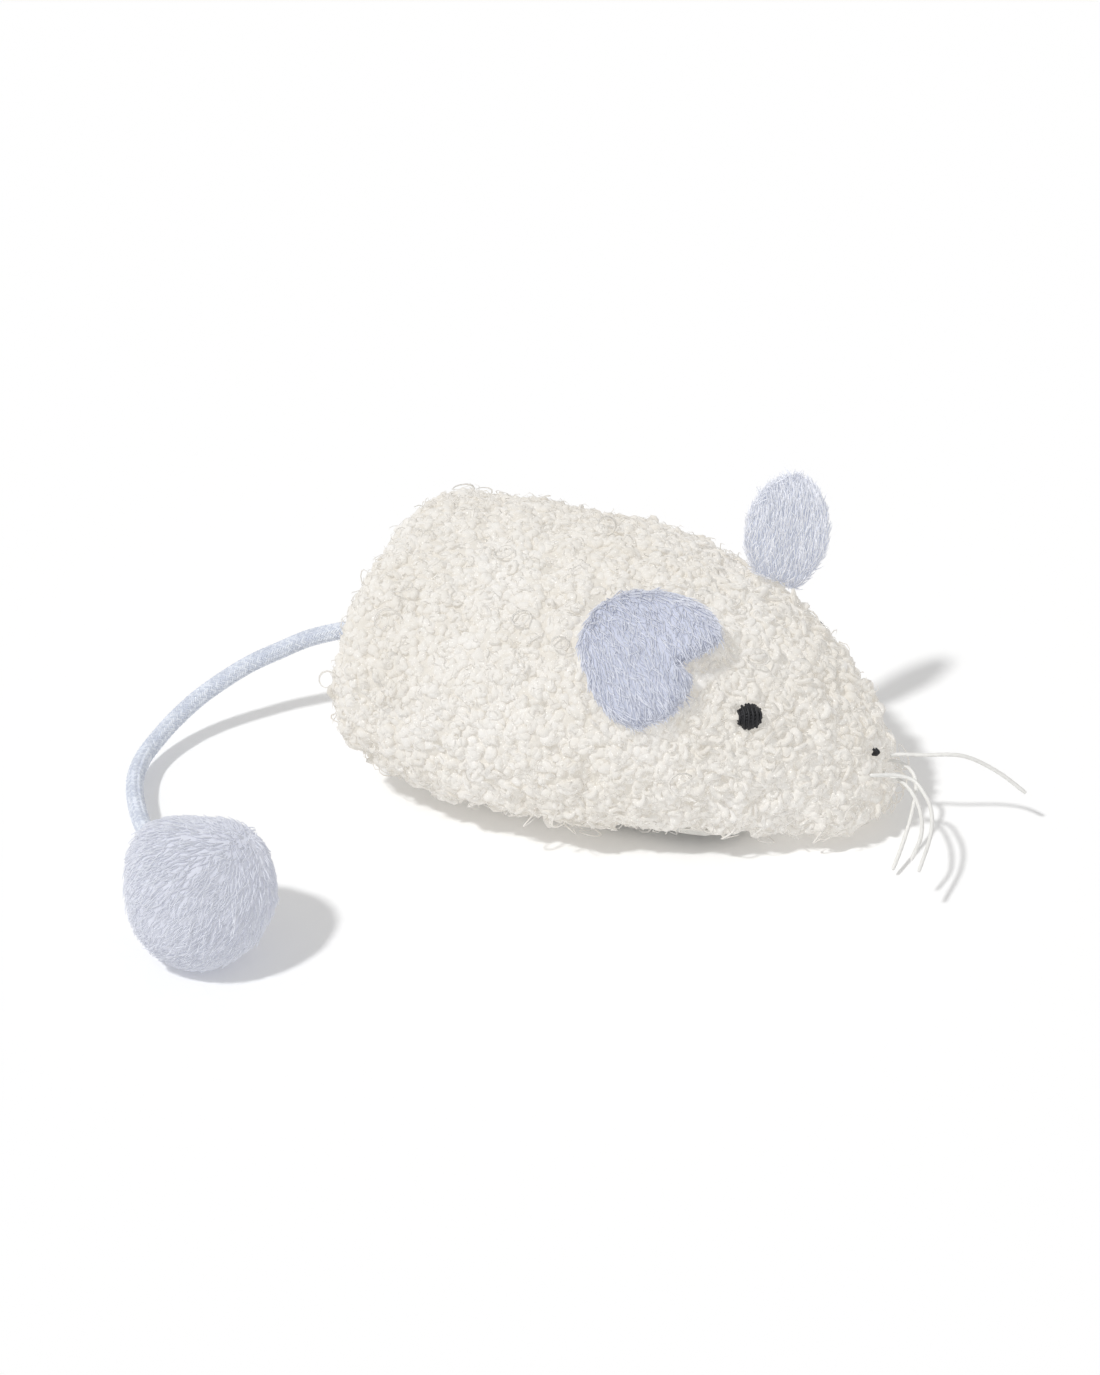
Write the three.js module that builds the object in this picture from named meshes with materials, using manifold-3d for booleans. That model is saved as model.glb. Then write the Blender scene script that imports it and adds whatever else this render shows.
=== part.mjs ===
// A wheeled mouse cat toy in millimetres: its nose points along +X, its left side along +Y and up along +Z.
// It stands on z = 0, and the origin lies under the middle of the toy without its tail.
import * as THREE from "three";
import { mergeVertices } from "three/addons/utils/BufferGeometryUtils.js";
import Module from "manifold-3d";

const wasm = await Module();
wasm.setup();

// Clearances that every piece shares
const gap = 0.3;
const overrun = 2;
const weldReach = 1e-4;

// Plush body: the outer face of the fur, from the rear to the nose
const bodyLength = 107;
const bodyWidth = 75;
const bodyHeight = 44;
const bellyHeight = 3.4;
const furThickness = 4;
const bellySeamRise = 8;
const whiskerReach = 23;
const halfWidthShares = [0, 0.8, 0.955, 1, 0.955, 0.765, 0.5, 0.27, 0];
const crownShares = [0.36, 0.89, 0.975, 0.985, 1, 0.905, 0.685, 0.4, 0.17];
const bellyShares = [0.36, 0.19, 0.06, 0.01, 0, 0, -0.01, -0.02, 0.17];
const widestShare = 0.44;
const crownRoundnessShare = 2.15;
const skirtRoundnessShare = 3.9;
const furSteps = 36;
const furSides = 48;
const tuftRise = 1.3;
const tuftTurnShares = [2.5, 0.6, -0.5, 2.3];
const tuftFadeShare = 2;
const earShelterShares = { along: 0.565, around: 0.2, length: 0.15, width: 0.19 };
const liningSteps = 16;
const liningSides = 20;
const normalStepShare = 1e-3;

// Chassis: a tray under the body and a lid over the wheels
const chassisLength = 64;
const chassisWidth = 37;
const chassisCorner = 8;
const knotClearance = 1.5;
const chassisDrop = 0.3;
const trayFloor = 1.6;
const trayWall = 1.5;
const rimWidth = 2.4;
const rimThickness = 1.2;
const flangeThickness = 1.4;
const lidThickness = 1.5;
const cornerSides = 2;
const saddleSides = 5;
const slotCornerSides = 1;

// Wheels and axles
const tyreRadius = 9;
const tyreDepth = 1.9;
const tyreShoulder = 0.5;
const wheelWidth = 6.5;
const rimLip = 0.9;
const rimLipRise = 1.1;
const rimWall = 1.2;
const hubWall = 1.3;
const webThickness = 1.5;
const axleRadius = 1.2;
const axleStub = 0.5;
const slotWallGap = 0.45;
const saddleSlotGap = 0.45;
const wheelSides = 20;
const axleSides = 20;
const axleRunning = 0.1;
const wheelRunning = 0.8;
const lidRunning = 1;

// Axle saddles on the tray and the caps that close them
const saddleThickness = 2;
const saddleFoot = 9;
const saddleHead = 6.4;
const saddleRise = 3;
const slotCurbWall = 1.1;
const slotCurbRise = 1.6;

// Screws, their bosses on the tray and their posts under the lid
const screwRadius = 1.1;
const screwHeadRadius = 2.1;
const screwHeadHeight = 1.4;
const screwLength = 8.5;
const bossRadius = 3.2;
const bossRise = 4.2;
const postRadius = 2.9;
const pilotDepth = 5;
const screwFromAxle = 7;
const screwSideInset = 5.4;
const screwSides = 10;

// Ears: padded petals whose outlines are in shares of the ear's size
const earSize = 28;
const earThickness = 5.6;
const earCupRadius = 21;
const earSteps = 4;
const earSides = 30;
const earEdgeShare = 2.4;
const earAlongShare = 0.642;
const earAroundShare = 0.29;
const earOutlineShares = {
  ear_right: [
    [-0.1, 0.03], [-0.005, -0.05], [-0.035, -0.17], [-0.14, -0.33], [-0.34, -0.43], [-0.52, -0.34],
    [-0.68, -0.14], [-0.755, 0.11], [-0.68, 0.38], [-0.45, 0.54], [-0.15, 0.53], [0.09, 0.39], [0.16, 0.24],
    [0.06, 0.11],
  ],
  ear_left: [
    [0.04, -0.14], [-0.09, -0.235], [-0.3, -0.385], [-0.51, -0.41], [-0.68, -0.29], [-0.78, -0.03], [-0.7, 0.2],
    [-0.46, 0.345], [-0.2, 0.34], [-0.03, 0.22], [0.05, 0.13],
  ],
};
const earMiddleShares = { ear_right: [-0.3, 0], ear_left: [-0.35, 0] };
const earCupShares = { ear_right: 1, ear_left: -0.5 };
const earTipShares = { ear_right: [-0.97, -0.2, -0.05], ear_left: [0.02, 0.35, 0.94] };
const earFaceShares = { ear_right: [0.05, -0.72, 0.69], ear_left: [0.85, -0.5, 0.16] };
const rightEarLift = 4.2;
const rightEarSlide = 3.6;
const leftEarSlide = -0.8;
const earLifts = { ear_right: rightEarLift, ear_left: 0 };
const earSlides = { ear_right: rightEarSlide, ear_left: leftEarSlide };

// Eyes and nose: satin stitch pads that sit in the fur
const eyeRadius = 2.5;
const eyeRise = 0.9;
const noseRadius = 1.9;
const noseRise = 0.8;
const eyeAlongShare = 0.695;
const eyeAroundShare = 0.21;
const noseAlongShare = 0.895;
const noseAroundShare = 0.61;
const padStitchSides = 14;
const padStitchRings = 6;

// Whiskers: two stiff threads through the snout
const whiskerRadius = 0.5;
const whiskerSides = 6;
const whiskerSteps = 22;
const whiskerHeight = 4;
const whiskerShares = {
  whisker_thread_upper: [
    [1, 0.452, 0.15], [0.77, 0.388, 0.339], [0.501, 0.261, 0.509], [0.213, 0.138, 0.522],
    [-0.07, 0.04, 0.504], [-0.2, -0.11, 0.45], [-0.122, -0.273, 0.496], [-0.035, -0.224, 0.487],
    [0.06, -0.173, 0.478], [0.209, -0.151, 0.452], [0.346, -0.25, 0.404], [0.454, -0.419, 0.391],
    [0.539, -0.67, 0.348], [0.582, -1.1, 0.261],
  ],
  whisker_thread_lower: [
    [0.232, -0.663, -0.1], [0.232, -0.397, 0.022], [0.22, -0.17, 0.152], [0.172, 0.06, 0.283],
    [0.09, 0.14, 0.35], [-0.05, 0.13, 0.4], [-0.18, 0, 0.38], [-0.04, -0.102, 0.42],
    [0.108, -0.131, 0.4], [0.254, -0.257, 0.38], [0.395, -0.49, 0.36], [0.475, -0.74, 0.328],
    [0.475, -0.969, 0.261],
  ],
};

// Tail: a braided cord with a plush ball on its end
const tailRadius = 1.8;
const tailExitHeight = 18.4;
const tailSides = 8;
const tailSteps = 17;
const rootLength = 7;
const knotRadius = 4;
const knotLength = 8;
const knotSides = 10;
const knotShoulderShare = 0.86;
const knotShoulderPlaceShare = 0.16;
const knotTipShare = 0.8;
const knotTipPlaceShare = 0.85;
const ballRadius = 13.8;
const ballTallShare = 1.05;
const ballFlat = 0.4;
const ballFurThickness = 2;
const ballX = -62;
const ballY = -86;
const ballSides = 20;
const ballRings = 12;
const ballEntryShares = [-0.7, 0.68, -0.22];
const endKnotRadius = 3.2;
const endKnotLength = 6;
const endRootLength = 4;
const tailRoute = [
  [-69, -0.3, 18.5],
  [-73.5, -2.6, 18],
  [-78, -5.4, 16.9],
  [-82.1, -8.7, 15.3],
  [-86.2, -12.1, 13.6],
  [-89.8, -15.9, 11.6],
  [-93.6, -20.6, 9],
  [-96.2, -25.7, 6.7],
  [-97.6, -31.2, 5],
  [-97.9, -36.8, 4.2],
  [-96.8, -42.4, 4.1],
  [-94.6, -47.9, 4.3],
  [-91.6, -53.1, 4.5],
  [-88, -58.3, 4.9],
  [-84.2, -63, 5.9],
  [-80.4, -67.4, 7.4],
];

// Colours and surfaces
const finishes = {
  boucle: { color: 0xf3efe6, roughness: 1, metalness: 0 },
  plush: { color: 0xc3cfe3, roughness: 0.95, metalness: 0 },
  braid: { color: 0xc3cfe3, roughness: 0.8, metalness: 0 },
  embroidery: { color: 0x14161c, roughness: 0.75, metalness: 0 },
  waxedThread: { color: 0xf4f2ec, roughness: 0.45, metalness: 0 },
  wadding: { color: 0xfafafa, roughness: 1, metalness: 0 },
  moulding: { color: 0xe9e8e4, roughness: 0.5, metalness: 0 },
  softTyre: { color: 0x5a5d63, roughness: 0.8, metalness: 0 },
  steel: { color: 0xb9bcc0, roughness: 0.32, metalness: 1 },
};

// Places that follow from the sizes above
const toyLength = bodyLength + whiskerReach;
const rearX = -toyLength / 2;
const noseX = rearX + bodyLength;
const bellySeamHeight = bellyHeight + bellySeamRise;
const chassisX = rearX + rootLength + knotLength + knotClearance + chassisLength / 2;
const trayUnderside = bellyHeight - chassisDrop;
const trayTop = trayUnderside + trayFloor;
const clampTop = bellyHeight + furThickness;
const lidSeam = clampTop + gap;
const axleHeight = tyreRadius * Math.cos(Math.PI / wheelSides);
const lidCeiling = axleHeight + tyreRadius + lidRunning;
const lidTop = lidCeiling + lidThickness;
const channelRadius = tyreRadius - tyreDepth - gap;
const rimLipRadius = channelRadius + rimLipRise;
const axleSlot = axleRadius + axleRunning;
const slotWidth = wheelWidth + 2 * wheelRunning;
const wheelTrack = chassisWidth - 2 * (trayWall + slotWallGap) - slotWidth;
const wheelBase = chassisLength / 2;
const saddleTrack = wheelTrack - slotWidth - saddleThickness - 2 * saddleSlotGap;
const farBelow = -overrun;
const farAbove = bellyHeight + bodyHeight + overrun;
const wideEnough = toyLength;

// A closed three.js geometry as a solid that can be cut and joined
function solid(geometry) {
  const bare = geometry.clone();
  for (const name of Object.keys(bare.attributes)) {
    if (name !== "position") bare.deleteAttribute(name);
  }
  const merged = mergeVertices(bare, weldReach);
  return new wasm.Manifold(new wasm.Mesh({
    numProp: 3,
    vertProperties: new Float32Array(merged.attributes.position.array),
    triVerts: new Uint32Array(merged.index.array),
  }));
}

// The geometry of a solid
function surface(body) {
  const mesh = body.getMesh();
  const geometry = new THREE.BufferGeometry();
  geometry.setAttribute("position", new THREE.BufferAttribute(new Float32Array(mesh.vertProperties), 3));
  geometry.setIndex(new THREE.BufferAttribute(new Uint32Array(mesh.triVerts), 1));
  geometry.computeVertexNormals();
  return geometry;
}

// Rows of points joined into a closed skin; the first and the last row are a single point each
function skin(rows) {
  const points = [];
  const starts = [];
  for (const row of rows) {
    starts.push(points.length);
    points.push(...row);
  }
  const faces = [];
  for (let i = 0; i + 1 < rows.length; i += 1) {
    const here = rows[i].length;
    const next = rows[i + 1].length;
    const count = Math.max(here, next);
    for (let j = 0; j < count; j += 1) {
      const a = starts[i] + (j % here);
      const b = starts[i] + ((j + 1) % here);
      const c = starts[i + 1] + (j % next);
      const d = starts[i + 1] + ((j + 1) % next);
      if (a !== b) faces.push(a, b, d);
      if (c !== d) faces.push(a, d, c);
    }
  }
  const geometry = new THREE.BufferGeometry();
  geometry.setAttribute("position", new THREE.Float32BufferAttribute(points.flatMap((p) => p.toArray()), 3));
  geometry.setIndex(faces);
  return geometry;
}

// A smooth value between shares that are evenly spaced from 0 to 1
function between(shares, at) {
  const curve = new THREE.SplineCurve(shares.map((share, i) => new THREE.Vector2(i, share)));
  return curve.getPoint(Math.min(Math.max(at, 0), 1)).y;
}

// A superellipse's coordinate: the power keeps the sign
function rounded(value, roundness) {
  return Math.sign(value) * Math.abs(value) ** (2 / roundness);
}

// A point on the body's fur: along is 0 at the rear and 1 at the nose, around starts at the left side
function bodyPoint(along, around, inset = 0) {
  const lengthShare = (1 - Math.cos(along * Math.PI)) / 2;
  const halfWidth = (bodyWidth / 2 - inset) * between(halfWidthShares, along);
  const crown = bellyHeight + bodyHeight * between(crownShares, along);
  const belly = bellyHeight + bodyHeight * between(bellyShares, along);
  const widest = belly + (crown - belly) * widestShare;
  const roundness = Math.sin(around) >= 0 ? crownRoundnessShare : skirtRoundnessShare;
  const reach = Math.sin(around) >= 0 ? crown - widest : widest - belly;
  const heightShare = 1 - inset / (bodyHeight / 2);
  return new THREE.Vector3(
    rearX + inset + (bodyLength - 2 * inset) * lengthShare,
    halfWidth * rounded(Math.cos(around), roundness),
    widest + reach * heightShare * rounded(Math.sin(around), roundness),
  );
}

// The outward direction of the fur at a point
function bodyNormal(along, around) {
  const step = normalStepShare;
  const alongStep = bodyPoint(along + step, around).sub(bodyPoint(along - step, around));
  const aroundStep = bodyPoint(along, around + step).sub(bodyPoint(along, around - step));
  return aroundStep.cross(alongStep).normalize().negate();
}

// How far a tuft of the curly pile stands out of the fur's even face: none at the ends, under the body or by an ear
function tuftLift(i, j, along, around) {
  const { length, width } = earShelterShares;
  const besideEar = Math.abs(Math.abs(around / Math.PI - 1 / 2) - earShelterShares.around);
  const fromEar = Math.hypot((along - earShelterShares.along) / length, besideEar / width);
  const [a, b, c, d] = tuftTurnShares;
  const wave = Math.sin(i * a + j * b) * Math.sin(i * c + j * d);
  const fade = Math.min(1, Math.max(0, 1 + tuftFadeShare * Math.sin(around)));
  return tuftRise * wave * fade * Math.sin(Math.PI * along) * Math.min(1, fromEar ** 2);
}

// The body's form, drawn in from the fur's outer face by an inset, with or without the pile's tufts
function bodyForm(inset, steps, sides, tufted = false) {
  const rows = [];
  for (let i = 0; i <= steps; i += 1) {
    const along = i / steps;
    const tip = i === 0 || i === steps;
    const count = tip ? 1 : sides;
    const row = [];
    for (let j = 0; j < count; j += 1) {
      const around = (2 * Math.PI * j) / sides;
      row.push(bodyPoint(along, around, inset - (tufted ? tuftLift(i, j, along, around) : 0)));
    }
    rows.push(row);
  }
  return solid(skin(rows));
}

// A block between two corners
function block(low, high) {
  const size = high.clone().sub(low);
  const geometry = new THREE.BoxGeometry(size.x, size.y, size.z);
  geometry.translate(low.x + size.x / 2, low.y + size.y / 2, low.z + size.z / 2);
  return solid(geometry);
}

// An upright prism of an outline, between two heights
function prism(outline, low, high, curveSegments = cornerSides) {
  const geometry = new THREE.ExtrudeGeometry(outline, {
    depth: high - low,
    bevelEnabled: false,
    curveSegments,
  });
  geometry.translate(0, 0, low);
  return solid(geometry);
}

// A profile in the XZ plane, as thick as asked along Y about a middle
function rib(outline, middleY, thickness) {
  const geometry = new THREE.ExtrudeGeometry(outline, {
    depth: thickness,
    bevelEnabled: false,
    curveSegments: saddleSides,
  });
  geometry.rotateX(Math.PI / 2);
  geometry.translate(0, middleY + thickness / 2, 0);
  return solid(geometry);
}

// An upright round rod
function rod(radius, x, y, low, high) {
  const geometry = new THREE.CylinderGeometry(radius, radius, high - low, screwSides);
  geometry.rotateX(Math.PI / 2);
  geometry.translate(x, y, low + (high - low) / 2);
  return solid(geometry);
}

// A rectangle with rounded corners about a middle
function roundedRectangle(middleX, middleY, length, width, corner) {
  const x = middleX - length / 2;
  const y = middleY - width / 2;
  const outline = new THREE.Shape();
  outline.moveTo(x + corner, y);
  outline.lineTo(x + length - corner, y);
  outline.absarc(x + length - corner, y + corner, corner, -Math.PI / 2, 0);
  outline.lineTo(x + length, y + width - corner);
  outline.absarc(x + length - corner, y + width - corner, corner, 0, Math.PI / 2);
  outline.lineTo(x + corner, y + width);
  outline.absarc(x + corner, y + width - corner, corner, Math.PI / 2, Math.PI);
  outline.lineTo(x, y + corner);
  outline.absarc(x + corner, y + corner, corner, Math.PI, Math.PI * 1.5);
  return outline;
}

// The chassis outline, grown outwards by a margin
function chassisOutline(margin) {
  return roundedRectangle(
    chassisX, 0, chassisLength + 2 * margin, chassisWidth + 2 * margin, chassisCorner + margin,
  );
}

// A round tube along a smooth path
function tube(points, radius, sides, steps) {
  const section = new THREE.Shape();
  for (let i = 0; i < sides; i += 1) {
    const turn = (2 * Math.PI * i) / sides;
    const x = radius * Math.cos(turn);
    const y = radius * Math.sin(turn);
    if (i === 0) section.moveTo(x, y);
    else section.lineTo(x, y);
  }
  section.closePath();
  const path = new THREE.CatmullRomCurve3(points, false, "centripetal");
  return new THREE.ExtrudeGeometry(section, { steps, bevelEnabled: false, extrudePath: path });
}

// A revolved profile of radius and distance, from a place along a direction
function turned(profile, sides, place, direction) {
  const geometry = new THREE.LatheGeometry(profile.map(([r, y]) => new THREE.Vector2(r, y)), sides);
  const turn = new THREE.Quaternion().setFromUnitVectors(new THREE.Vector3(0, 1, 0), direction);
  geometry.applyQuaternion(turn);
  geometry.translate(place.x, place.y, place.z);
  return geometry;
}

// Side panels and the belly panel: a shell of fur, parted at the back seam and at the belly seam
const furForm = bodyForm(0, furSteps, furSides, true);
const liningForm = bodyForm(furThickness, liningSteps, liningSides);
const furShell = furForm.subtract(liningForm);

function sideOf(side) {
  const inner = (gap / 2) * side;
  const outer = wideEnough * side;
  return block(
    new THREE.Vector3(-wideEnough, Math.min(inner, outer), bellySeamHeight + gap / 2),
    new THREE.Vector3(wideEnough, Math.max(inner, outer), farAbove),
  );
}

const underSeam = block(
  new THREE.Vector3(-wideEnough, -wideEnough, farBelow),
  new THREE.Vector3(wideEnough, wideEnough, bellySeamHeight - gap / 2),
);

// Tail root: the cord's inner end, knotted behind the rear seam
function knotProfile(radius, root, knot, knotLong, extra) {
  const bulge = knot + extra;
  const neck = radius + extra;
  return [
    [0, -extra],
    [neck, -extra],
    [neck, root],
    [bulge * knotShoulderShare, root + knotLong * knotShoulderPlaceShare],
    [bulge, root + knotLong / 2],
    [bulge * knotTipShare, root + knotLong * knotTipPlaceShare],
    [0, root + knotLong + extra],
  ];
}

const tailExit = new THREE.Vector3(rearX, 0, tailExitHeight);
const forward = new THREE.Vector3(1, 0, 0);

function tailRoot(extra) {
  const profile = knotProfile(tailRadius, rootLength, knotRadius, knotLength, extra);
  return turned(profile, knotSides, tailExit, forward);
}

const tailHole = solid(tailRoot(gap)).add(
  solid(turned(
    [[0, -overrun], [tailRadius + gap, -overrun], [tailRadius + gap, rootLength], [0, rootLength]],
    knotSides, tailExit, forward,
  )),
);

// Whisker threads: each goes in at one cheek and out at the other
function whiskerPoints(name) {
  return whiskerShares[name].map(([x, y, z]) => new THREE.Vector3(
    noseX + whiskerReach * x, whiskerReach * y, whiskerHeight + whiskerReach * z,
  ));
}

function whisker(name, extra) {
  return tube(whiskerPoints(name), whiskerRadius + extra, whiskerSides, whiskerSteps);
}

const group = new THREE.Group();

// One named piece of the toy
function piece(name, geometry, material) {
  const mesh = new THREE.Mesh(geometry, material);
  mesh.name = name;
  group.add(mesh);
  return mesh;
}

// A material of its own for each piece, from the table of finishes
function finish(name) {
  return new THREE.MeshStandardMaterial(finishes[name]);
}

let holes = tailHole;
for (const name of Object.keys(whiskerShares)) {
  holes = holes.add(solid(whisker(name, gap)));
}

// Stitched pads: a flat dome sunk in the fur, its axis along the fur's normal
function stitchPad(radius, rise, place, normal) {
  const geometry = new THREE.SphereGeometry(1, padStitchSides, padStitchRings);
  geometry.scale(radius, rise, radius);
  geometry.applyQuaternion(new THREE.Quaternion().setFromUnitVectors(new THREE.Vector3(0, 1, 0), normal));
  geometry.translate(place.x, place.y, place.z);
  return geometry;
}

const padPlaces = {
  eye_right: [eyeAlongShare, 1 - eyeAroundShare, eyeRadius, eyeRise],
  eye_left: [eyeAlongShare, eyeAroundShare, eyeRadius, eyeRise],
  nose_stitch: [noseAlongShare, noseAroundShare, noseRadius, noseRise],
};
for (const [name, [along, aroundShare, radius, rise]] of Object.entries(padPlaces)) {
  const around = Math.PI * aroundShare;
  const place = bodyPoint(along, around);
  const normal = bodyNormal(along, around);
  piece(name, stitchPad(radius, rise, place, normal), finish("embroidery"));
  holes = holes.add(solid(stitchPad(radius + gap, rise + gap, place, normal)));
}

piece("body_panel_right", surface(furShell.intersect(sideOf(-1)).subtract(holes)), finish("boucle"));
piece("body_panel_left", surface(furShell.intersect(sideOf(1)).subtract(holes)), finish("boucle"));

// Belly panel: open for the tray, and let in where the tray's rim and the lid's flange clamp it
const trayOpening = prism(chassisOutline(gap), farBelow, farAbove);
const rimRoom = prism(chassisOutline(rimWidth + gap), farBelow, trayUnderside + rimThickness + gap);
const flangeRoom = prism(chassisOutline(rimWidth + gap), clampTop, farAbove);
piece(
  "belly_panel",
  surface(furShell.intersect(underSeam).subtract(trayOpening).subtract(rimRoom).subtract(flangeRoom)),
  finish("boucle"),
);

// Stuffing: it fills the fur and leaves room for the lid and the knot
const lidRoom = prism(chassisOutline(gap), farBelow, lidTop + gap).add(
  prism(chassisOutline(rimWidth + gap), farBelow, lidSeam + flangeThickness + gap),
);
const stuffingForm = bodyForm(furThickness + gap, liningSteps, liningSides);
piece("stuffing", surface(stuffingForm.subtract(lidRoom).subtract(holes)), finish("wadding"));

// Ears: a pillow over a closed outline, bent round the line from its root to its tip
function earPillow(outline, middle, cup) {
  const curve = new THREE.SplineCurve([...outline, outline[0]].map(([x, y]) => new THREE.Vector2(x, y)));
  const edge = [];
  for (let j = 0; j < earSides; j += 1) {
    edge.push(curve.getPoint(j / earSides));
  }
  const centre = new THREE.Vector2(middle[0], middle[1]);
  const row = (spread, face) => {
    const rise = (earThickness / earSize / 2) * face * Math.sqrt(1 - spread ** earEdgeShare);
    const points = spread === 0 ? [centre] : edge.map((p) => centre.clone().lerp(p, spread));
    return points.map((p) => new THREE.Vector3(
      p.x * earSize, p.y * earSize, rise * earSize - (cup * (p.y * earSize) ** 2) / (2 * earCupRadius),
    ));
  };
  const rows = [];
  for (let i = 0; i <= earSteps; i += 1) {
    rows.push(row(Math.sin((Math.PI / 2) * (i / earSteps)), 1));
  }
  for (let i = earSteps - 1; i >= 0; i -= 1) {
    rows.push(row(Math.sin((Math.PI / 2) * (i / earSteps)), -1));
  }
  return skin(rows);
}

// Each ear stands on the fur: its tip and its face point along their own directions
const furRoom = bodyForm(-gap, furSteps, furSides, true);

for (const name of Object.keys(earOutlineShares)) {
  const side = Math.PI * (name === "ear_right" ? 1 - earAroundShare : earAroundShare);
  const root = bodyPoint(earAlongShare, side);
  const tip = new THREE.Vector3(...earTipShares[name]).normalize();
  const face = new THREE.Vector3(...earFaceShares[name]);
  face.addScaledVector(tip, -face.dot(tip)).normalize();
  const back = tip.clone().negate();
  const across = face.clone().cross(back);
  root.addScaledVector(face, earLifts[name]).addScaledVector(tip, earSlides[name]);
  const pillow = earPillow(earOutlineShares[name], earMiddleShares[name], earCupShares[name]);
  pillow.applyMatrix4(new THREE.Matrix4().makeBasis(back, across, face).setPosition(root));
  piece(name, surface(solid(pillow).subtract(furRoom)), finish("plush"));
}

for (const name of Object.keys(whiskerShares)) {
  piece(name, whisker(name, 0), finish("waxedThread"));
}

// Tail: the knotted root, the free cord, and the ball over the knot at its far end
const ballCentre = new THREE.Vector3(ballX, ballY, ballRadius * ballTallShare - ballFlat);
const ballEntry = new THREE.Vector3(...ballEntryShares).normalize();
const ballInwards = ballEntry.clone().negate();
const ballReach = ballRadius / Math.hypot(ballEntry.x, ballEntry.y, ballEntry.z / ballTallShare);
const ballMouth = ballCentre.clone().addScaledVector(ballEntry, ballReach);
const cordStart = tailExit.clone().addScaledVector(forward, -gap);
const cordEnd = ballMouth.clone().addScaledVector(ballEntry, gap);
const cordPoints = [cordStart, ...tailRoute.map((p) => new THREE.Vector3(...p)), cordEnd];

function endKnot(extra) {
  const profile = knotProfile(tailRadius, endRootLength, endKnotRadius, endKnotLength, extra);
  return turned(profile, knotSides, ballMouth, ballInwards);
}

function ball(radius) {
  const geometry = new THREE.SphereGeometry(radius, ballSides, ballRings);
  geometry.rotateX(Math.PI / 2);
  geometry.scale(1, 1, ballTallShare);
  geometry.translate(ballCentre.x, ballCentre.y, ballCentre.z);
  return solid(geometry);
}

const mouthCut = solid(turned(
  [[0, -overrun], [tailRadius + gap, -overrun], [tailRadius + gap, endRootLength], [0, endRootLength]],
  knotSides, ballMouth, ballInwards,
)).add(solid(endKnot(gap)));
const aboveFloor = block(
  new THREE.Vector3(-wideEnough, -wideEnough, 0),
  new THREE.Vector3(wideEnough, wideEnough, farAbove),
);
const ballLining = ball(ballRadius - ballFurThickness);
piece("tail_root_knot", tailRoot(0), finish("braid"));
piece("tail_cord", tube(cordPoints, tailRadius, tailSides, tailSteps), finish("braid"));
piece("tail_end_knot", endKnot(0), finish("braid"));
piece(
  "tail_ball_cover",
  surface(ball(ballRadius).intersect(aboveFloor).subtract(ballLining).subtract(mouthCut)),
  finish("plush"),
);
piece(
  "tail_ball_filling",
  surface(ball(ballRadius - ballFurThickness - gap).subtract(mouthCut)),
  finish("wadding"),
);

// Axles, wheels and tyres
const axlePlaces = { front: chassisX + wheelBase / 2, rear: chassisX - wheelBase / 2 };
const sides = { left: 1, right: -1 };

function wheelGeometry(profile, x, y) {
  const geometry = new THREE.LatheGeometry(profile.map(([r, w]) => new THREE.Vector2(r, w)), wheelSides);
  geometry.rotateY(Math.PI / wheelSides);
  geometry.translate(x, y, axleHeight);
  return geometry;
}

const bore = axleRadius + gap;
const hubRadius = bore + hubWall;
const rimInside = channelRadius - rimWall;
const faceY = wheelWidth / 2;
const channelY = faceY - rimLip;
const webY = webThickness / 2;
const halfWheel = [
  [bore, faceY], [hubRadius, faceY], [hubRadius, webY], [rimInside, webY], [rimInside, faceY],
  [rimLipRadius, faceY], [rimLipRadius, channelY], [channelRadius, channelY],
];
const tyreY = channelY - gap;
const halfTyre = [
  [channelRadius + gap, tyreY], [tyreRadius - tyreShoulder, tyreY], [tyreRadius, tyreY - tyreShoulder],
];

// A profile mirrored about the wheel's middle and closed on itself
function mirrored(half) {
  const other = half.map(([r, y]) => [r, -y]).reverse();
  return [...half.slice().reverse(), ...other.slice().reverse(), half[half.length - 1]];
}

for (const [end, x] of Object.entries(axlePlaces)) {
  const axleLength = wheelTrack + wheelWidth + 2 * axleStub;
  const axle = new THREE.CylinderGeometry(axleRadius, axleRadius, axleLength, axleSides);
  axle.translate(x, 0, axleHeight);
  piece(`${end}_axle`, axle, finish("steel"));
  for (const [side, sign] of Object.entries(sides)) {
    const y = (sign * wheelTrack) / 2;
    piece(`wheel_${end}_${side}`, wheelGeometry(mirrored(halfWheel), x, y), finish("moulding"));
    piece(`tyre_${end}_${side}`, wheelGeometry(mirrored(halfTyre), x, y), finish("softTyre"));
  }
}

// Screws, their places on the chassis
const screwPlaces = {
  front: [chassisX + wheelBase / 2 + screwFromAxle, 0],
  rear: [chassisX - wheelBase / 2 - screwFromAxle, 0],
  left: [chassisX, chassisWidth / 2 - screwSideInset],
  right: [chassisX, -chassisWidth / 2 + screwSideInset],
};
const headBottom = trayUnderside + gap;
const headTop = headBottom + screwHeadHeight;
const bossTop = trayTop + bossRise;
const sinkTop = headTop + gap;

for (const [name, [x, y]] of Object.entries(screwPlaces)) {
  const profile = [
    [0, 0],
    [screwHeadRadius, 0],
    [screwHeadRadius, screwHeadHeight],
    [screwRadius, screwHeadHeight],
    [screwRadius, screwLength - screwRadius],
    [0, screwLength],
  ];
  const place = new THREE.Vector3(x, y, headBottom);
  const screw = turned(profile, screwSides, place, new THREE.Vector3(0, 0, 1));
  piece(`chassis_screw_${name}`, screw, finish("steel"));
}

// The tray: floor, wall, clamp rim, curbs round the wheel slots, axle saddles and screw bosses
function wheelSlot(x, y, margin) {
  const length = 2 * (tyreRadius + wheelRunning + margin);
  const width = slotWidth + 2 * margin;
  return roundedRectangle(x, y, length, width, wheelRunning + margin);
}

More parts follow.
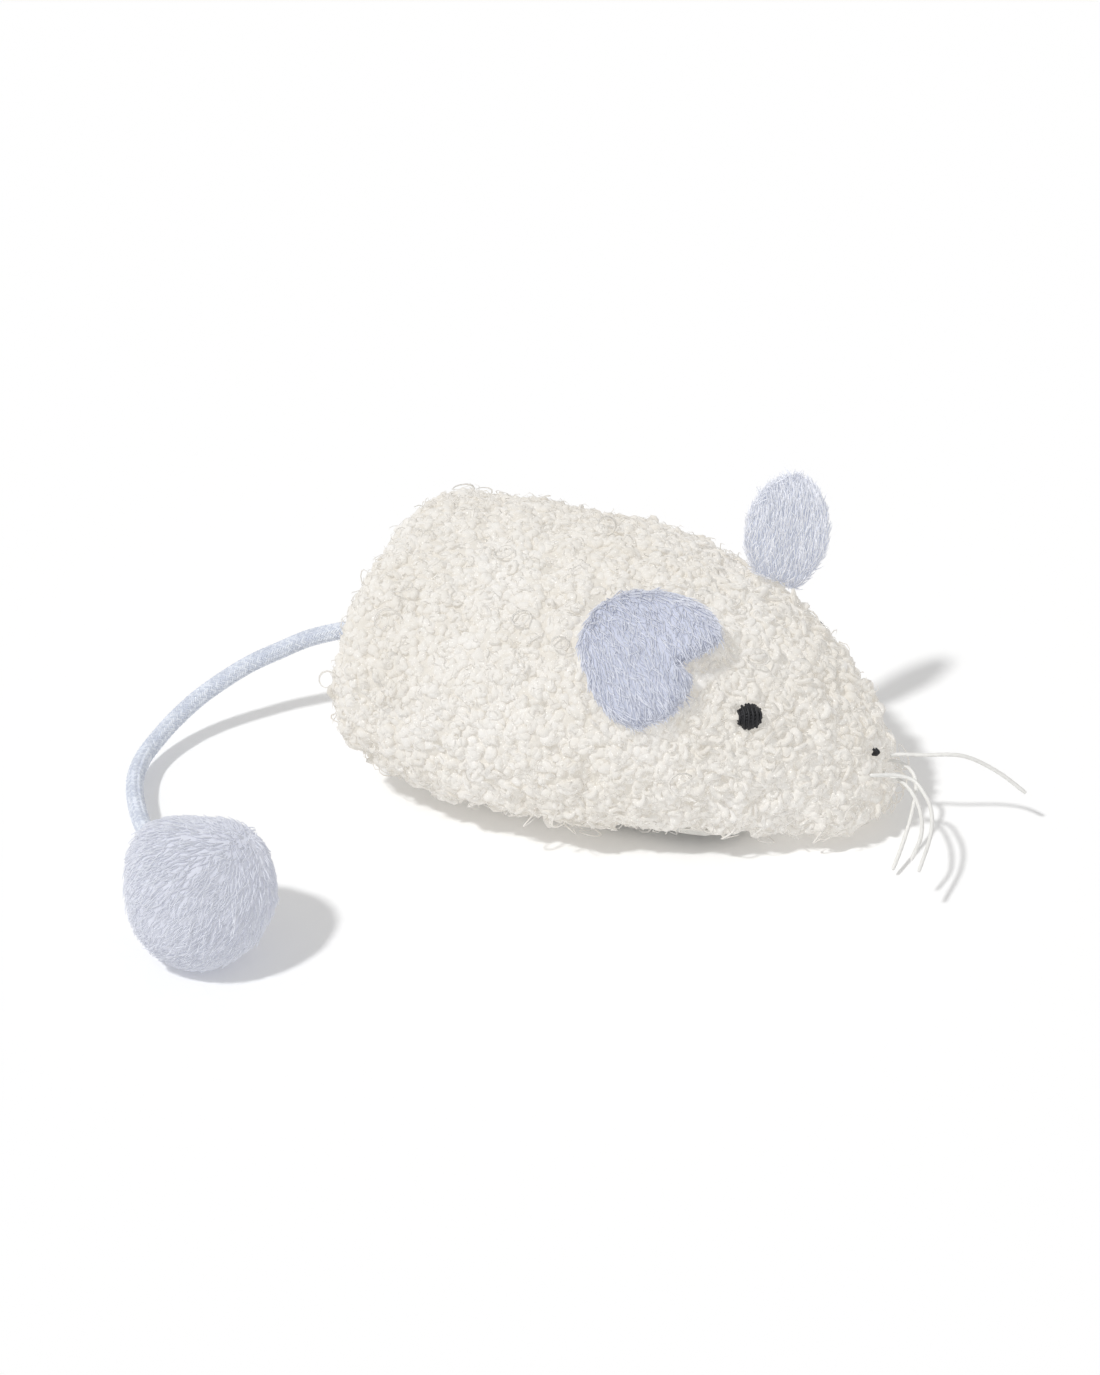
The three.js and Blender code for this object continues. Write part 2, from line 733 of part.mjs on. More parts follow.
function saddleOutline(x) {
  const top = axleHeight + saddleRise;
  const low = trayTop - trayFloor / 2;
  const outline = new THREE.Shape();
  outline.moveTo(x - saddleFoot / 2, low);
  outline.lineTo(x + saddleFoot / 2, low);
  outline.lineTo(x + saddleHead / 2, top);
  outline.lineTo(x + axleSlot, top);
  outline.lineTo(x + axleSlot, axleHeight);
  outline.absarc(x, axleHeight, axleSlot, 0, -Math.PI, true);
  outline.lineTo(x - axleSlot, top);
  outline.lineTo(x - saddleHead / 2, top);
  return outline;
}

let tray = prism(chassisOutline(0), trayUnderside, clampTop);
tray = tray.subtract(prism(chassisOutline(-trayWall), trayTop, farAbove));
tray = tray.add(prism(chassisOutline(rimWidth), trayUnderside, trayUnderside + rimThickness));
for (const [x, y] of Object.values(screwPlaces)) {
  tray = tray.add(rod(bossRadius, x, y, trayTop - trayFloor / 2, bossTop));
}
for (const x of Object.values(axlePlaces)) {
  for (const sign of Object.values(sides)) {
    tray = tray.add(rib(saddleOutline(x), (sign * saddleTrack) / 2, saddleThickness));
    const curb = wheelSlot(x, (sign * wheelTrack) / 2, slotCurbWall);
    const insideWall = prism(chassisOutline(-trayWall / 2), farBelow, farAbove);
    const curbTop = trayTop + slotCurbRise;
    tray = tray.add(prism(curb, trayTop - trayFloor / 2, curbTop, slotCornerSides).intersect(insideWall));
  }
}
for (const x of Object.values(axlePlaces)) {
  for (const sign of Object.values(sides)) {
    const slot = wheelSlot(x, (sign * wheelTrack) / 2, 0);
    tray = tray.subtract(prism(slot, farBelow, clampTop, slotCornerSides));
  }
}
for (const [x, y] of Object.values(screwPlaces)) {
  tray = tray.subtract(rod(screwHeadRadius + gap, x, y, farBelow, sinkTop));
  tray = tray.subtract(rod(screwRadius + gap, x, y, farBelow, farAbove));
}
piece("chassis_base", surface(tray), finish("moulding"));

// The lid: a hollow box with a flange, screw posts and the caps that hold the axles down
function capOutline(x) {
  const prong = axleRadius - gap;
  const shoulder = axleHeight + saddleRise + gap;
  const end = axleHeight + axleRadius + gap;
  const outline = new THREE.Shape();
  outline.moveTo(x - saddleHead / 2, lidCeiling + lidThickness / 2);
  outline.lineTo(x - saddleHead / 2, shoulder);
  outline.lineTo(x - prong, shoulder);
  outline.lineTo(x - prong, end);
  outline.lineTo(x + prong, end);
  outline.lineTo(x + prong, shoulder);
  outline.lineTo(x + saddleHead / 2, shoulder);
  outline.lineTo(x + saddleHead / 2, lidCeiling + lidThickness / 2);
  return outline;
}

let lid = prism(chassisOutline(0), lidSeam, lidTop);
lid = lid.add(prism(chassisOutline(rimWidth), lidSeam, lidSeam + flangeThickness));
lid = lid.subtract(prism(chassisOutline(-trayWall), farBelow, lidCeiling));
for (const x of Object.values(axlePlaces)) {
  for (const sign of Object.values(sides)) {
    lid = lid.add(rib(capOutline(x), (sign * saddleTrack) / 2, saddleThickness));
  }
}
for (const [x, y] of Object.values(screwPlaces)) {
  lid = lid.add(rod(postRadius, x, y, bossTop + gap, lidCeiling + lidThickness / 2));
  lid = lid.subtract(rod(screwRadius + gap, x, y, farBelow, bossTop + pilotDepth));
}
piece("chassis_cover", surface(lid), finish("moulding"));

export default group;
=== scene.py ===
import math
import random

import bmesh
import bpy
from mathutils import Matrix, Vector, noise
from mathutils.bvhtree import BVHTree


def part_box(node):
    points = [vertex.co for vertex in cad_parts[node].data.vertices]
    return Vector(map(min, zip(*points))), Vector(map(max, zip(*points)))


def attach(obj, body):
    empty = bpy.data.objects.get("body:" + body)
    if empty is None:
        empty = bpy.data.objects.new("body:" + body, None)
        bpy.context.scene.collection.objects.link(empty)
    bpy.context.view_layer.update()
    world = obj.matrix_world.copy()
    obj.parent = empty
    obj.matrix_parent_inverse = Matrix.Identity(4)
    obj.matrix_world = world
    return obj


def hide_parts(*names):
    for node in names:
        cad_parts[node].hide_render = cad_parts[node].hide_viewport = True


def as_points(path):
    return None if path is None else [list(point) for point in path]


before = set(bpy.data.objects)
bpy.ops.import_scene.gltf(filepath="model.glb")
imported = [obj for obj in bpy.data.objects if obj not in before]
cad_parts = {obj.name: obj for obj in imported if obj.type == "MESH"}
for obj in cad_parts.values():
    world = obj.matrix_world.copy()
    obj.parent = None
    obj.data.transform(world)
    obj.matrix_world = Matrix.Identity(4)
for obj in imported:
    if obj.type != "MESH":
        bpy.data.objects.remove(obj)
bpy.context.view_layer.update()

mm = 0.001
up = Vector((0, 0, 1))
print("frame loaded:", len(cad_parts), "nodes")


# ---- shader expressions ----

class Shade:
    # one output socket of a finish; arithmetic on it adds Math nodes
    def __init__(self, finish, socket):
        self.finish = finish
        self.socket = socket

    def math(self, operation, *values):
        return self.finish.node("Math", {"operation": operation}, dict(enumerate(values)))

    def __add__(self, other):
        return self.math("ADD", self, other)

    def __radd__(self, other):
        return self.math("ADD", other, self)

    def __sub__(self, other):
        return self.math("SUBTRACT", self, other)

    def __rsub__(self, other):
        return self.math("SUBTRACT", other, self)

    def __mul__(self, other):
        return self.math("MULTIPLY", self, other)

    def __rmul__(self, other):
        return self.math("MULTIPLY", other, self)

    def clamped(self):
        return self.finish.node("Clamp", {}, {0: self, 1: 0.0, 2: 1.0})


class Finish:
    # the nodes of a material, or of the world, round its one shader, whose own sockets hold the steady values
    def __init__(self, name, kind="materials", shader="Principled BSDF", **steady):
        self.owner = getattr(bpy.data, kind).new(name)
        self.owner.use_nodes = True
        self.tree = self.owner.node_tree
        self.shader = self.tree.nodes[shader]
        for socket, value in steady.items():
            self.shader.inputs[socket.replace("_", " ")].default_value = value

    def node(self, kind, settings=None, inputs=None, output=0):
        made = self.tree.nodes.new("ShaderNode" + kind)
        for key, value in (settings or {}).items():
            setattr(made, key, value)
        for key, value in (inputs or {}).items():
            if isinstance(value, Shade):
                self.tree.links.new(value.socket, made.inputs[key])
            else:
                made.inputs[key].default_value = value
        return Shade(self, made.outputs[output])

    def feed(self, socket, value):
        self.tree.links.new(value.socket, self.shader.inputs[socket])

    def noise(self, scale, detail, roughness=0.5):
        place = self.node("TexCoord", output="Object")
        return self.node(
            "TexNoise", {}, {"Vector": place, "Scale": scale, "Detail": detail, "Roughness": roughness},
        )

    def blend(self, factor, first, second):
        return self.node("Mix", {"data_type": "RGBA"}, {0: factor, 6: first, 7: second}, output=2)

    def relief(self, height, strength, distance):
        inputs = {"Height": height, "Strength": strength, "Distance": distance}
        self.feed("Normal", self.node("Bump", {}, inputs))

    def tone(self, base, noises, marks):
        # 0 to 1: a base, noises as (scale, detail, weight), and marks of the mesh with their weights
        total = base
        for scale, detail, weight in noises:
            total = total + self.noise(scale, detail) * weight
        for mark, weight in marks.items():
            total = total + self.node("Attribute", {"attribute_name": mark}, output="Fac") * weight
        return total.clamped()

    def feedFibre(self, tint):
        # a steady emission of its own colour is painted light: it stands for the light that fine fibre passes on from
        # lock to lock
        self.feed("Base Color", tint)
        self.feed("Emission Color", tint)


def colour(red, green, blue):
    # sRGB 0 to 255 as the linear colour that the sockets hold
    def linear(value):
        share = value / 255
        return share / 12.92 if share <= 0.04045 else ((share + 0.055) / 1.055) ** 2.4
    return (linear(red), linear(green), linear(blue), 1.0)


# ---- helpers for pieces ----

def addObject(name, data):
    made = bpy.data.objects.new(name, data)
    bpy.context.scene.collection.objects.link(made)
    return made


def makePiece(name, data, body, material, replaces=()):
    piece = addObject(name, data)
    data.materials.clear()
    data.materials.append(material)
    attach(piece, body)
    if replaces:
        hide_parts(*replaces)
    return piece


def finishMesh(bm, name, smooth=True):
    mesh = bpy.data.meshes.new(name)
    for face in bm.faces:
        face.smooth = smooth
    bm.to_mesh(mesh)
    bm.free()
    return mesh


def camelCase(node):
    first, *rest = node.split("_")
    return first + "".join(part.capitalize() for part in rest)


def nodeBox(node):
    return [Vector(corner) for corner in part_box(node)]


def nodeMiddle(node):
    low, high = nodeBox(node)
    return (low + high) / 2


def added(bm, mesh):
    # puts a mesh into the bmesh and gives its new vertices
    count = len(bm.verts)
    bm.from_mesh(mesh)
    bm.verts.ensure_lookup_table()
    return bm.verts[count:]


def nodeForm(*nodes):
    # the nodes' own triangles at rest, with the doubles of each merged
    bm = bmesh.new()
    for node in nodes:
        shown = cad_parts[node]
        fresh = added(bm, shown.data)
        bmesh.ops.transform(bm, matrix=shown.matrix_world, verts=fresh)
        bmesh.ops.remove_doubles(bm, verts=fresh, dist=0.01 * mm)
    return bm


def applied(bm, name, kind, **settings):
    # the bmesh with one modifier applied
    mesh = bpy.data.meshes.new(name)
    bm.to_mesh(mesh)
    bm.free()
    carrier = addObject(name, mesh)
    modifier = carrier.modifiers.new(kind, kind)
    for key, value in settings.items():
        setattr(modifier, key, value)
    result = bmesh.new()
    result.from_object(carrier, bpy.context.evaluated_depsgraph_get())
    bpy.data.objects.remove(carrier)
    bpy.data.meshes.remove(mesh)
    return result


def cutAway(bm, name, cutter, **settings):
    bm = applied(bm, name, "BOOLEAN", operation="DIFFERENCE", object=cutter, solver="EXACT", **settings)
    bpy.data.objects.remove(cutter)
    return bm


def woven(bm, name, weave, rounds):
    # the form as an even mesh of small faces, smoothed
    bm = applied(bm, name, "REMESH", mode="VOXEL", voxel_size=weave)
    for _ in range(rounds):
        bmesh.ops.smooth_vert(bm, verts=bm.verts, factor=0.5, use_axis_x=True, use_axis_y=True, use_axis_z=True)
    bm.normal_update()
    return bm


def drawIn(bm, depth):
    # moves the whole surface inwards
    bm.normal_update()
    for vert in bm.verts:
        vert.co -= vert.normal * depth
    bm.normal_update()


def smoothPath(points, perSpan):
    # a centripetal curve through the points, as the tail and the whiskers follow it
    points = [Vector(p) for p in points]
    chain = [points[0] * 2 - points[1], *points, points[-1] * 2 - points[-2]]
    path = []
    for a, b, c, d in zip(chain, chain[1:], chain[2:], chain[3:]):
        t0 = 0
        t1 = t0 + math.sqrt((b - a).length)
        t2 = t1 + math.sqrt((c - b).length)
        t3 = t2 + math.sqrt((d - c).length)
        for step in range(perSpan):
            t = t1 + (t2 - t1) * step / perSpan
            ab = a.lerp(b, (t - t0) / (t1 - t0))
            bc = b.lerp(c, (t - t1) / (t2 - t1))
            cd = c.lerp(d, (t - t2) / (t3 - t2))
            first = ab.lerp(bc, (t - t0) / (t2 - t0))
            second = bc.lerp(cd, (t - t1) / (t3 - t1))
            path.append(first.lerp(second, (t - t1) / (t2 - t1)))
    path.append(points[-1])
    return path


def evenPath(path, spacing):
    # the same path walked in even steps
    lengths = [0]
    for a, b in zip(path, path[1:]):
        lengths.append(lengths[-1] + (b - a).length)
    count = max(2, round(lengths[-1] / spacing))
    even = []
    span = 0
    for step in range(count + 1):
        want = lengths[-1] * step / count
        while span < len(path) - 2 and lengths[span + 1] < want:
            span += 1
        share = (want - lengths[span]) / max(lengths[span + 1] - lengths[span], 1e-12)
        even.append(path[span].lerp(path[span + 1], share))
    return even, lengths[-1]


def pathStances(path):
    # each point with its side and its crown, carried along without twist
    stances = []
    side = None
    for i, point in enumerate(path):
        direction = (path[min(i + 1, len(path) - 1)] - path[max(i - 1, 0)]).normalized()
        if side is None:
            side = direction.cross(up).normalized()
        side = (side - direction * side.dot(direction)).normalized()
        stances.append((point, side, side.cross(direction)))
    return stances


def besidePath(stance, angle, radius):
    # a point off the path, at an angle round it
    point, side, crown = stance
    return point + (side * math.cos(angle) + crown * math.sin(angle)) * radius


def curveMesh(name, lines, radius, sides=1, radii=None):
    # round strands along lines of points, as one mesh
    data = bpy.data.curves.new(name, "CURVE")
    data.dimensions = "3D"
    data.bevel_depth = radius
    data.bevel_resolution = sides
    data.use_fill_caps = True
    for line in lines:
        spline = data.splines.new("POLY")
        spline.points.add(len(line) - 1)
        for i, point in enumerate(line):
            spline.points[i].co = (*point, 1)
            spline.points[i].radius = radii[i] if radii else 1
    carrier = addObject(name, data)
    mesh = bpy.data.meshes.new_from_object(carrier.evaluated_get(bpy.context.evaluated_depsgraph_get()))
    bpy.data.objects.remove(carrier)
    bpy.data.curves.remove(data)
    mesh.name = name
    mesh.shade_smooth()
    return mesh


# ---- camera, lights and floor ----

view = {
    "place": (0.2540, -0.6918, 0.4999),
    "azimuth": 22.2,
    "elevation": 33.0,
    "lens": 120.44,
}
cameraData = bpy.data.cameras.new("photoCamera")
cameraData.lens = view["lens"]
cameraData.clip_start = 0.01
camera = addObject("photoCamera", cameraData)
camera.location = view["place"]
camera.rotation_euler = (math.radians(90 - view["elevation"]), 0, math.radians(view["azimuth"]))
bpy.context.scene.camera = camera
bpy.context.scene.view_settings.view_transform = "Standard"

light = {
    "travel": (0.34, 0.60, -1.0),
    "strength": 1.58,
    "angle": 4.6,
    "skyStrength": 0.57,    # what it lights with; the camera and reflections see it white
    "floorShade": 1.0,
    "floorGlow": 0.015,
    "floorHalf": 3.0,
}
sunData = bpy.data.lights.new("keyLight", "SUN")
sunData.energy = light["strength"]
sunData.angle = math.radians(light["angle"])
sun = addObject("keyLight", sunData)
sun.rotation_euler = Vector(light["travel"]).to_track_quat("-Z", "Y").to_euler()
sun.location = Vector(light["travel"]) * -0.8

sky = Finish("studio", "worlds", "Background", Color=(1, 1, 1, 1))
rays = [sky.node("LightPath", output=f"Is {kind} Ray") for kind in ("Camera", "Glossy")]
seen = rays[0].math("MAXIMUM", *rays)
sky.feed("Strength", seen * (1 - light["skyStrength"]) + light["skyStrength"])
bpy.context.scene.world = sky.owner


def makeFloor():
    bm = bmesh.new()
    bmesh.ops.create_grid(bm, x_segments=1, y_segments=1, size=light["floorHalf"])
    mesh = finishMesh(bm, "floor", smooth=False)
    floor = addObject("floor", mesh)
    shade = (light["floorShade"],) * 3 + (1,)
    paint = Finish(
        "floorPaint", Base_Color=shade, Emission_Color=(1, 1, 1, 1), Roughness=0.9, Specular_IOR_Level=0.0,
    )
    paint.feed("Emission Strength", paint.node("LightPath", output="Is Camera Ray") * light["floorGlow"])
    mesh.materials.append(paint.owner)


makeFloor()
print("camera, lights and floor made")


# ---- tail ----

tail = {
    "exit": (-0.0653, 0.0, 0.0184),
    "end": (-0.07189, -0.0764, 0.01098),
    "route": [
        (-0.0690, -0.0003, 0.0185), (-0.0735, -0.0026, 0.0180), (-0.0780, -0.0054, 0.0169),
        (-0.0821, -0.0087, 0.0153), (-0.0862, -0.0121, 0.0136), (-0.0898, -0.0159, 0.0116),
        (-0.0936, -0.0206, 0.0090), (-0.0962, -0.0257, 0.0067), (-0.0976, -0.0312, 0.0050),
        (-0.0979, -0.0368, 0.0042), (-0.0968, -0.0424, 0.0041), (-0.0946, -0.0479, 0.0043),
        (-0.0916, -0.0531, 0.0045), (-0.0880, -0.0583, 0.0049), (-0.0842, -0.0630, 0.0059),
        (-0.0804, -0.0674, 0.0074),
    ],
    "radius": 1.8 * mm,
    "strands": 16,          # in each direction
    "strandRadius": 0.23 * mm,
    "overUnder": 0.15 * mm,
    "pitch": 9.5 * mm,
    "coreRadius": 1.32 * mm,
    "hiddenReach": 1.6 * mm,  # the braid goes on this far into the fur and into the ball
    "spacing": 0.4 * mm,      # of the points along it
    "yarnTones": (0.55, 0.7, 0.85),
    "seed": 5,
    "tone": {"base": -0.1, "noises": [(2600.0, 2.0, 0.25), (120.0, 2.0, 0.15)], "marks": {"strandTone": 0.9}},
}


def tailPath():
    path = smoothPath([tail["exit"], *tail["route"], tail["end"]], 12)
    first = path[0] + (path[0] - path[1]).normalized() * tail["hiddenReach"]
    last = path[-1] + (path[-1] - path[-2]).normalized() * tail["hiddenReach"]
    return evenPath([first, *path, last], tail["spacing"])


def braidFinish():
    # the yarn's weak steady emission is painted light
    yarn = Finish("braidYarn", Roughness=0.82, Specular_IOR_Level=0.25, Sheen_Weight=0.15, Emission_Strength=0.12)
    yarn.feedFibre(yarn.blend(yarn.tone(**tail["tone"]), colour(142, 153, 178), colour(230, 234, 241)))
    yarn.relief(yarn.noise(5200.0, 2.0), 0.35, 0.08 * mm)
    return yarn.owner


def makeTail():
    path, length = tailPath()
    stances = pathStances(path)
    step = length / (len(path) - 1)
    count = tail["strands"]
    bm = bmesh.new()
    toneLayer = bm.verts.layers.float.new("strandTone")
    shuffle = random.Random(tail["seed"])
    for way in (1, -1):
        for k in range(count):
            line = []
            for i, stance in enumerate(stances):
                turn = 2 * math.pi * i * step / tail["pitch"]
                crossing = turn * count / math.pi    # the strands of the other way met so far
                phase = crossing + 2 * k - 0.5 if way > 0 else 2 * k - crossing - 0.5
                lift = way * tail["overUnder"] * math.cos(math.pi / 2 * phase)
                angle = way * turn + 2 * math.pi * k / count
                radius = tail["radius"] - tail["strandRadius"] - tail["overUnder"] + lift
                line.append(besidePath(stance, angle, radius))
            strand = curveMesh("strand", [line], tail["strandRadius"], sides=0)
            tone = shuffle.choice(tail["yarnTones"])
            for vert in added(bm, strand):
                vert[toneLayer] = tone
            bpy.data.meshes.remove(strand)
    core = curveMesh("core", [path], tail["coreRadius"], sides=3)
    bm.from_mesh(core)
    bpy.data.meshes.remove(core)
    braid = finishMesh(bm, "tailBraid")
    return makePiece("tailBraid", braid, "toy", braidFinish(), replaces=("tail_cord",)), path, length


tailBraid, tailLine, tailLength = makeTail()
print("tail braided:", round(tailLength / mm, 1), "mm")


# ---- strands ----

def strandTemplate(points, radii, tone, sides=3):
    # one tapered strand: a small face drawn out along its points, with its height and tone kept for the colour
    bm = bmesh.new()
    direction = (points[1] - points[0]).normalized()
    bmesh.ops.create_circle(bm, cap_ends=True, radius=radii[0], segments=sides)
    stand = Matrix.Translation(points[0]) @ direction.to_track_quat("Z", "Y").to_matrix().to_4x4()
    bmesh.ops.transform(bm, matrix=stand, verts=bm.verts)
    face = bm.faces[:][0]
    for i in range(1, len(points)):
        ahead = (points[min(i + 1, len(points) - 1)] - points[i - 1]).normalized()
        grown = bmesh.ops.extrude_face_region(bm, geom=[face])["geom"]
        face = next(g for g in grown if isinstance(g, bmesh.types.BMFace))
        verts = [g for g in grown if isinstance(g, bmesh.types.BMVert)]
        turn = direction.rotation_difference(ahead).to_matrix().to_4x4()
        grow = Matrix.Scale(radii[i] / radii[i - 1], 4)
        about = Matrix.Translation(points[i]) @ turn @ grow @ Matrix.Translation(-points[i - 1])
        bmesh.ops.transform(bm, matrix=about, verts=verts)
        direction = ahead
    bmesh.ops.recalc_face_normals(bm, faces=bm.faces)
    writeTones(bm, max(v.co.z for v in bm.verts), tone, 1)
    return finishMesh(bm, "strand")


def writeTones(bm, top, tone, strand):
    # what the colours read: the height in the pile, by which the roots are painted darker as shade, the lock's own
    # tone, and whether it is a strand or a knop
    layers = [bm.verts.layers.float.new(name) for name in ("tipShare", "lockTone", "strandShare")]
    for vert in bm.verts:
        for layer, value in zip(layers, (max(0, vert.co.z / top), tone, strand)):
            vert[layer] = value


def lowest(template, matrix):
    return min((matrix @ vert.co).z for vert in template.vertices)


def triangles(mesh):
    return sum(len(face.vertices) - 2 for face in mesh.polygons)


def plant(bm, template, matrix):
    shape = template.copy()
    shape.transform(matrix)
    bm.from_mesh(shape)
    bpy.data.meshes.remove(shape)


# ---- plush ears and ball ----

plush = {
    "weave": 0.62 * mm,
    "rounds": 3,             # of smoothing over the woven form
    "inset": 0.35 * mm,
    "hairs": 10,             # templates
    "hairLength": (1.8, 3.0),
    "hairRadius": 0.13,
    "hairSteps": (0, 0.35, 0.7, 1),
    "hairTaper": (0.9, 1.0, 0.75, 0.3),
    "hairArch": 1.9,         # as an angle
    "hairBend": 0.25,
    "hairSize": (0.8, 1.15),
    "lift": 0.15,            # how steeply a hair leaves the cloth
    "spread": 0.2,           # of the hairs about the nap
    "spin": 0.15,
    "floorGap": 0.05 * mm,
    "ballWaves": 1.7,
    "ballPhase": (3.1, 0.4, 1.7),
    "ballUneven": 0.5 * mm,
    "ballFoot": 0.55 * mm,   # no lower than this the ball's cloth goes
    "neckDraw": 1.6 * mm,    # where the cord goes in
    "gatherWidth": 0.5,      # as an angle
    "gathers": [             # where the filling stands out or sinks in, and how far in mm
        ((-0.64, -0.03, 0.77), 1.3), ((-0.12, 0.3, 0.95), -1.3), ((0.48, 0.42, 0.77), 1.2), ((0.96, 0.2, 0.17), 0.2),
    ],
    "noises": [(140.0, 3.0, 0.7), (1500.0, 2.0, 0.4)],
    # tipShare paints the hairs darker towards their roots: painted shade in the pile
    "marks": {"tipShare": 0.3, "lockTone": 0.7},
}
lopEar = {
    "size": 28 * mm,
    "root": (8.53, -21.13, 40.67),          # mm
    "back": (0.978, 0.202, 0.050),          # from the tip to the root
    "face": (0.111, -0.710, 0.695),
    "outline": [
        (-0.1, 0.03), (-0.005, -0.05), (-0.035, -0.17), (-0.13, -0.3), (-0.34, -0.38), (-0.53, -0.31),
        (-0.68, -0.14), (-0.755, 0.11), (-0.68, 0.38), (-0.45, 0.54), (-0.15, 0.53), (0.09, 0.39), (0.16, 0.24),
        (0.06, 0.11),
    ],
    "rim": 0.6 * mm,
    "pillow": [(0.4, 0.9), (0.8, 0.7), (1.4, 0.5), (2.2, 0.3)],   # mm: how far in and how far up, step by step
    "cupRadius": 21 * mm,
    "clear": 3.0 * mm,       # of the flap's middle over the fabric
    "sewn": 4.5 * mm,        # this near to its root it stays down
}


def plushFinish(name, low, high, base=-0.6, glow=0.2):
    # glow is the strength of a steady emission: painted light
    pile = Finish(
        name, Roughness=0.9, Specular_IOR_Level=0.2, Sheen_Weight=0.3, Sheen_Roughness=0.4, Emission_Strength=glow,
    )
    pile.feedFibre(pile.blend(pile.tone(base, plush["noises"], plush["marks"]), colour(*low), colour(*high)))
    return pile.owner


def hairTemplates(seed):
    shuffle = random.Random(seed)
    made = []
    for _ in range(plush["hairs"]):
        length = shuffle.uniform(*plush["hairLength"]) * mm
        bend = shuffle.uniform(-plush["hairBend"], plush["hairBend"])
        points = []
        for share in plush["hairSteps"]:
            rise = plush["lift"] * length * math.sin(share * plush["hairArch"])
            points.append(Vector((share * length, bend * share * share * length, rise)))
        radii = [plush["hairRadius"] * mm * share for share in plush["hairTaper"]]
        made.append(strandTemplate(points, radii, shuffle.random()))
    return made


def combOn(point, normal, comb, twist, size):
    # stands a hair on the cloth with its tip turned along the nap
    along = (comb - normal * comb.dot(normal)).normalized()
    across = normal.cross(along)
    turn = Matrix((along, across, normal)).transposed().to_4x4()
    return Matrix.Translation(point) @ turn @ Matrix.Rotation(twist, 4, "Z") @ Matrix.Scale(size, 4)


def gatherBall(bm):
    # hand-filled, so a little uneven, and drawn out where its cover is gathered
    gathers = [(Vector(tail["route"][-1]) - ballMiddle, plush["neckDraw"])]
    gathers += [(Vector(towards), draw * mm) for towards, draw in plush["gathers"]]
    for vert in bm.verts:
        outward = (vert.co - ballMiddle).normalized()
        rise = noise.noise(outward * plush["ballWaves"] + Vector(plush["ballPhase"])) * plush["ballUneven"]
        for towards, draw in gathers:
            rise += draw * math.exp(-(outward.angle(towards) / plush["gatherWidth"]) ** 2)
        vert.co += outward * rise
        vert.co.z = max(vert.co.z, plush["ballFoot"])


def flatEar():
    # the near ear's petal as a pillow, still lying flat
    petal = lopEar
    edge = smoothPath([(x, y, 0) for x, y in [*petal["outline"], petal["outline"][0]]], 5)[:-1]
    bm = bmesh.new()
    under = bm.faces.new([bm.verts.new(point * petal["size"]) for point in edge])
    grown = bmesh.ops.extrude_face_region(bm, geom=[under])["geom"]
    over = next(g for g in grown if isinstance(g, bmesh.types.BMFace))
    bmesh.ops.translate(bm, vec=(0, 0, petal["rim"]), verts=over.verts)
    bmesh.ops.recalc_face_normals(bm, faces=bm.faces)
    for side in (under, over):
        for inwards, rise in petal["pillow"]:
            bmesh.ops.inset_region(bm, faces=[side], thickness=inwards * mm, depth=rise * mm, use_even_offset=True)
    return bm


def layEar(bm):
    # bends the near ear over its middle line, stands it at its root and lays its flap over the fur
    petal = lopEar
    back = Vector(petal["back"]).normalized()
    face = Vector(petal["face"])
    face = (face - back * face.dot(back)).normalized()
    stand = Matrix((back, face.cross(back), face)).transposed().to_4x4()
    stand.translation = Vector(petal["root"]) * mm
    for vert in bm.verts:
        x, y, z = vert.co
        bend = -y * y / (2 * petal["cupRadius"])
        middle = stand @ Vector((x, y, bend))
        near, normal, _, _ = coverTree.find_nearest(middle)
        short = max(0, petal["clear"] - (middle - near).dot(normal))
        free = min(1, max(0, (math.hypot(x, y) - petal["sewn"]) / petal["sewn"]))
        vert.co = stand @ Vector((x, y, z + bend)) + normal * short * free


def plushForm(name, bm, shape=None):
    # a soft even cloth over a form
    bm = woven(bm, name, plush["weave"], plush["rounds"])
    if shape:
        shape(bm)
    drawIn(bm, plush["inset"])
    return bm


def makePlush(name, bm, nap, density, seed, replaces, pileMaterial, clothMaterial):
    # nap is the way the pile lies, and density the share of the cloth's small faces that carry a hair
    shuffle = random.Random(seed)
    pile = bmesh.new()
    for face in bm.faces:
        if shuffle.random() > density:
            continue
        point = face.calc_center_median().lerp(shuffle.choice(face.verts[:]).co, shuffle.random())
        comb = Vector(nap) + Vector(shuffle.gauss(0, plush["spread"]) for _ in range(3))
        size = shuffle.uniform(*plush["hairSize"])
        hair = shuffle.choice(hairs)
        matrix = combOn(point, face.normal, comb, shuffle.gauss(0, plush["spin"]), size)
        if lowest(hair, matrix) > plush["floorGap"]:
            plant(pile, hair, matrix)
    clothMesh = finishMesh(bm, name + "Cloth")
    cloth = makePiece(name + "Cloth", clothMesh, "toy", clothMaterial, replaces=replaces)
    mesh = finishMesh(pile, name + "Pile")
    print(name, triangles(mesh), "triangles of pile")
    return cloth, makePiece(name + "Pile", mesh, "toy", pileMaterial)


# ---- boucle body ----

